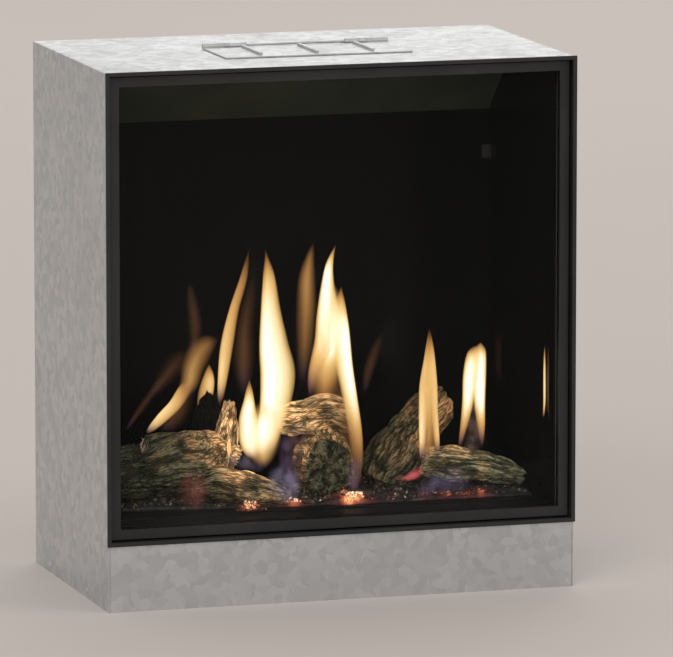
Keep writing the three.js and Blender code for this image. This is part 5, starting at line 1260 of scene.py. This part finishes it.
class GASFIRE_OT_logs(Operator):
    """Makes the eight logs with their bark and cut ends."""

    bl_idname = "gasfire.logs"
    bl_label = "Logs"

    def execute(self, context):
        colours = context.scene.gas_fire_colours
        bark = bark_fibre("bark_fibre", colours)
        charred = bark_fibre("charred_fibre", colours, charred=0.93)
        for name, shares in LOG_SHARES.items():
            burnt = name == "log_charred"
            mesh = log_surface(name + "_bark", shares, context.scene.gas_fire_sizes)
            place(name + "_bark", mesh, charred if burnt else bark, slot="charred" if burnt else "bark",
                  stands_for=(name,))
        return {"FINISHED"}


class GASFIRE_OT_embers(Operator):
    """Makes the ember bed, the loose chips on it and the pale splinters of the left log."""

    bl_idname = "gasfire.embers"
    bl_label = "Ember bed"

    def execute(self, context):
        material = ember_fibre(context.scene.gas_fire_colours)
        place("ember_bed_surface", bed_surface(), material, slot="ember", stands_for=("ember_bed",))
        place("ember_chips", chips(context.scene.gas_fire_sizes, "ember_chips", 11), material, slot="ember")
        place("splinters", splinters(), material, slot="ember")
        return {"FINISHED"}


class GASFIRE_OT_flames(Operator):
    """Makes the flames, the soft gas and the coloured haze as nested shells of glowing, see-through surface;
        one thin flame and two soft veils at the lining are painted reflections.
    """

    bl_idname = "gasfire.flames"
    bl_label = "Flames"

    def execute(self, context):
        material = flame_light("burning_gas")
        haze = flame_light("coloured_haze", 0.7, 95.0, 0.12)
        depth = context.scene.gas_fire_sizes.flame_depth
        for name, (heart_side, rows) in FLAMES.items():
            place(name, gas_shells(name, rows, FLAME_SHELLS, heart_side, depth), material)
        for name, rows in VEILS.items():
            place(name, gas_shells(name, rows, SOFT_SHELLS, 0, depth, None, 16, 32), material)
        for name, (tint, rows) in HAZES.items():
            place(name, gas_shells(name, rows, SOFT_SHELLS, 0, depth / 2, tint, 16, 24), haze)
        return {"FINISHED"}


class GASFIRE_OT_stage(Operator):
    """Makes the floor, the soft lamps, the world and the camera."""

    bl_idname = "gasfire.stage"
    bl_label = "Floor, light and camera"

    def execute(self, context):
        scene = context.scene
        scene.view_settings.view_transform = "Standard"
        scene.cycles.transparent_max_bounces = 96
        material, tree, surface = new_material("pale_floor", Roughness=1.0, Specular_IOR_Level=0.0)
        speckle = cloud(tree, object_place(tree), 3.0, 2)
        floor_colour = tuple(scene.gas_fire_colours.floor)
        give(tree, surface, Base_Color=mix(tree, speckle, toned(floor_colour, 0.985), floor_colour))
        reach = 40.0
        mesh = bpy.data.meshes.new("floor")
        mesh.from_pydata([(-reach, -reach, 0), (reach, -reach, 0), (reach, reach, 0), (-reach, reach, 0)], [],
                         [(0, 1, 2, 3)])
        mesh.materials.append(material)
        floor = bpy.data.objects.new("floor", mesh)
        scene.collection.objects.link(floor)

        world = bpy.data.worlds.new("studio")
        scene.world = world
        world.use_nodes = True
        background = world.node_tree.nodes["Background"]
        give(world.node_tree, background, Color=(0.93, 0.91, 0.885), Strength=0.8)

        target = Vector((0, 0, 0.3))
        for name, spot, size, power in (
            ("key_lamp", (-3.4, -5.0, 4.4), 4.0, 130),
            ("fill_lamp", (4.6, -3.4, 3.2), 3.6, 60),
            ("back_lamp", (2.4, 5.2, 4.2), 3.6, 70),
        ):
            lamp = bpy.data.lights.new(name, "AREA")
            lamp.size = size
            lamp.energy = power
            holder = bpy.data.objects.new(name, lamp)
            holder.location = spot
            holder.rotation_euler = (target - Vector(spot)).to_track_quat("-Z", "Y").to_euler()
            scene.collection.objects.link(holder)

        focal_length, picture_width = 7651.9, 673
        distance = 8.0426
        camera = bpy.data.cameras.new("camera")
        camera.sensor_width = 36
        camera.lens = focal_length / picture_width * camera.sensor_width
        camera.clip_end = 200
        yaw, pitch = math.radians(17), math.radians(9.049)
        back = Vector((-math.sin(yaw) * math.cos(pitch), -math.cos(yaw) * math.cos(pitch), math.sin(pitch)))
        eye = bpy.data.objects.new("camera", camera)
        eye.location = Vector((-0.00789, -0.175, 0.29076)) + back * distance
        eye.rotation_euler = back.to_track_quat("Z", "Y").to_euler()
        scene.collection.objects.link(eye)
        scene.camera = eye
        return {"FINISHED"}


class GASFIRE_PT_panel(Panel):
    """Lists the steps that build the fire, with the sizes and colours they use."""

    bl_idname = "GASFIRE_PT_panel"
    bl_label = "Gas fire"
    bl_space_type = "VIEW_3D"
    bl_region_type = "UI"
    bl_category = "Gas fire"

    def draw(self, context):
        column = self.layout.column(align=True)
        for step in STEPS:
            column.operator(step.bl_idname)
        for group in (context.scene.gas_fire_sizes, context.scene.gas_fire_colours):
            box = self.layout.box()
            for key in group.bl_rna.properties.keys():
                if key not in ("rna_type", "name"):
                    box.prop(group, key)


STEPS = (
    GASFIRE_OT_stage, GASFIRE_OT_case, GASFIRE_OT_surround, GASFIRE_OT_lining, GASFIRE_OT_gas_train,
    GASFIRE_OT_logs, GASFIRE_OT_embers, GASFIRE_OT_flames,
)
CLASSES = (GasFireSizes, GasFireColours, *STEPS, GASFIRE_PT_panel)


def register():
    for kind in CLASSES:
        bpy.utils.register_class(kind)
    bpy.types.Scene.gas_fire_sizes = PointerProperty(type=GasFireSizes)
    bpy.types.Scene.gas_fire_colours = PointerProperty(type=GasFireColours)


def unregister():
    del bpy.types.Scene.gas_fire_colours
    del bpy.types.Scene.gas_fire_sizes
    for kind in reversed(CLASSES):
        bpy.utils.unregister_class(kind)


def main():
    register()
    for step in STEPS:
        group, name = step.bl_idname.split(".")
        getattr(getattr(bpy.ops, group), name)()


if __name__ == "__main__":
    main()
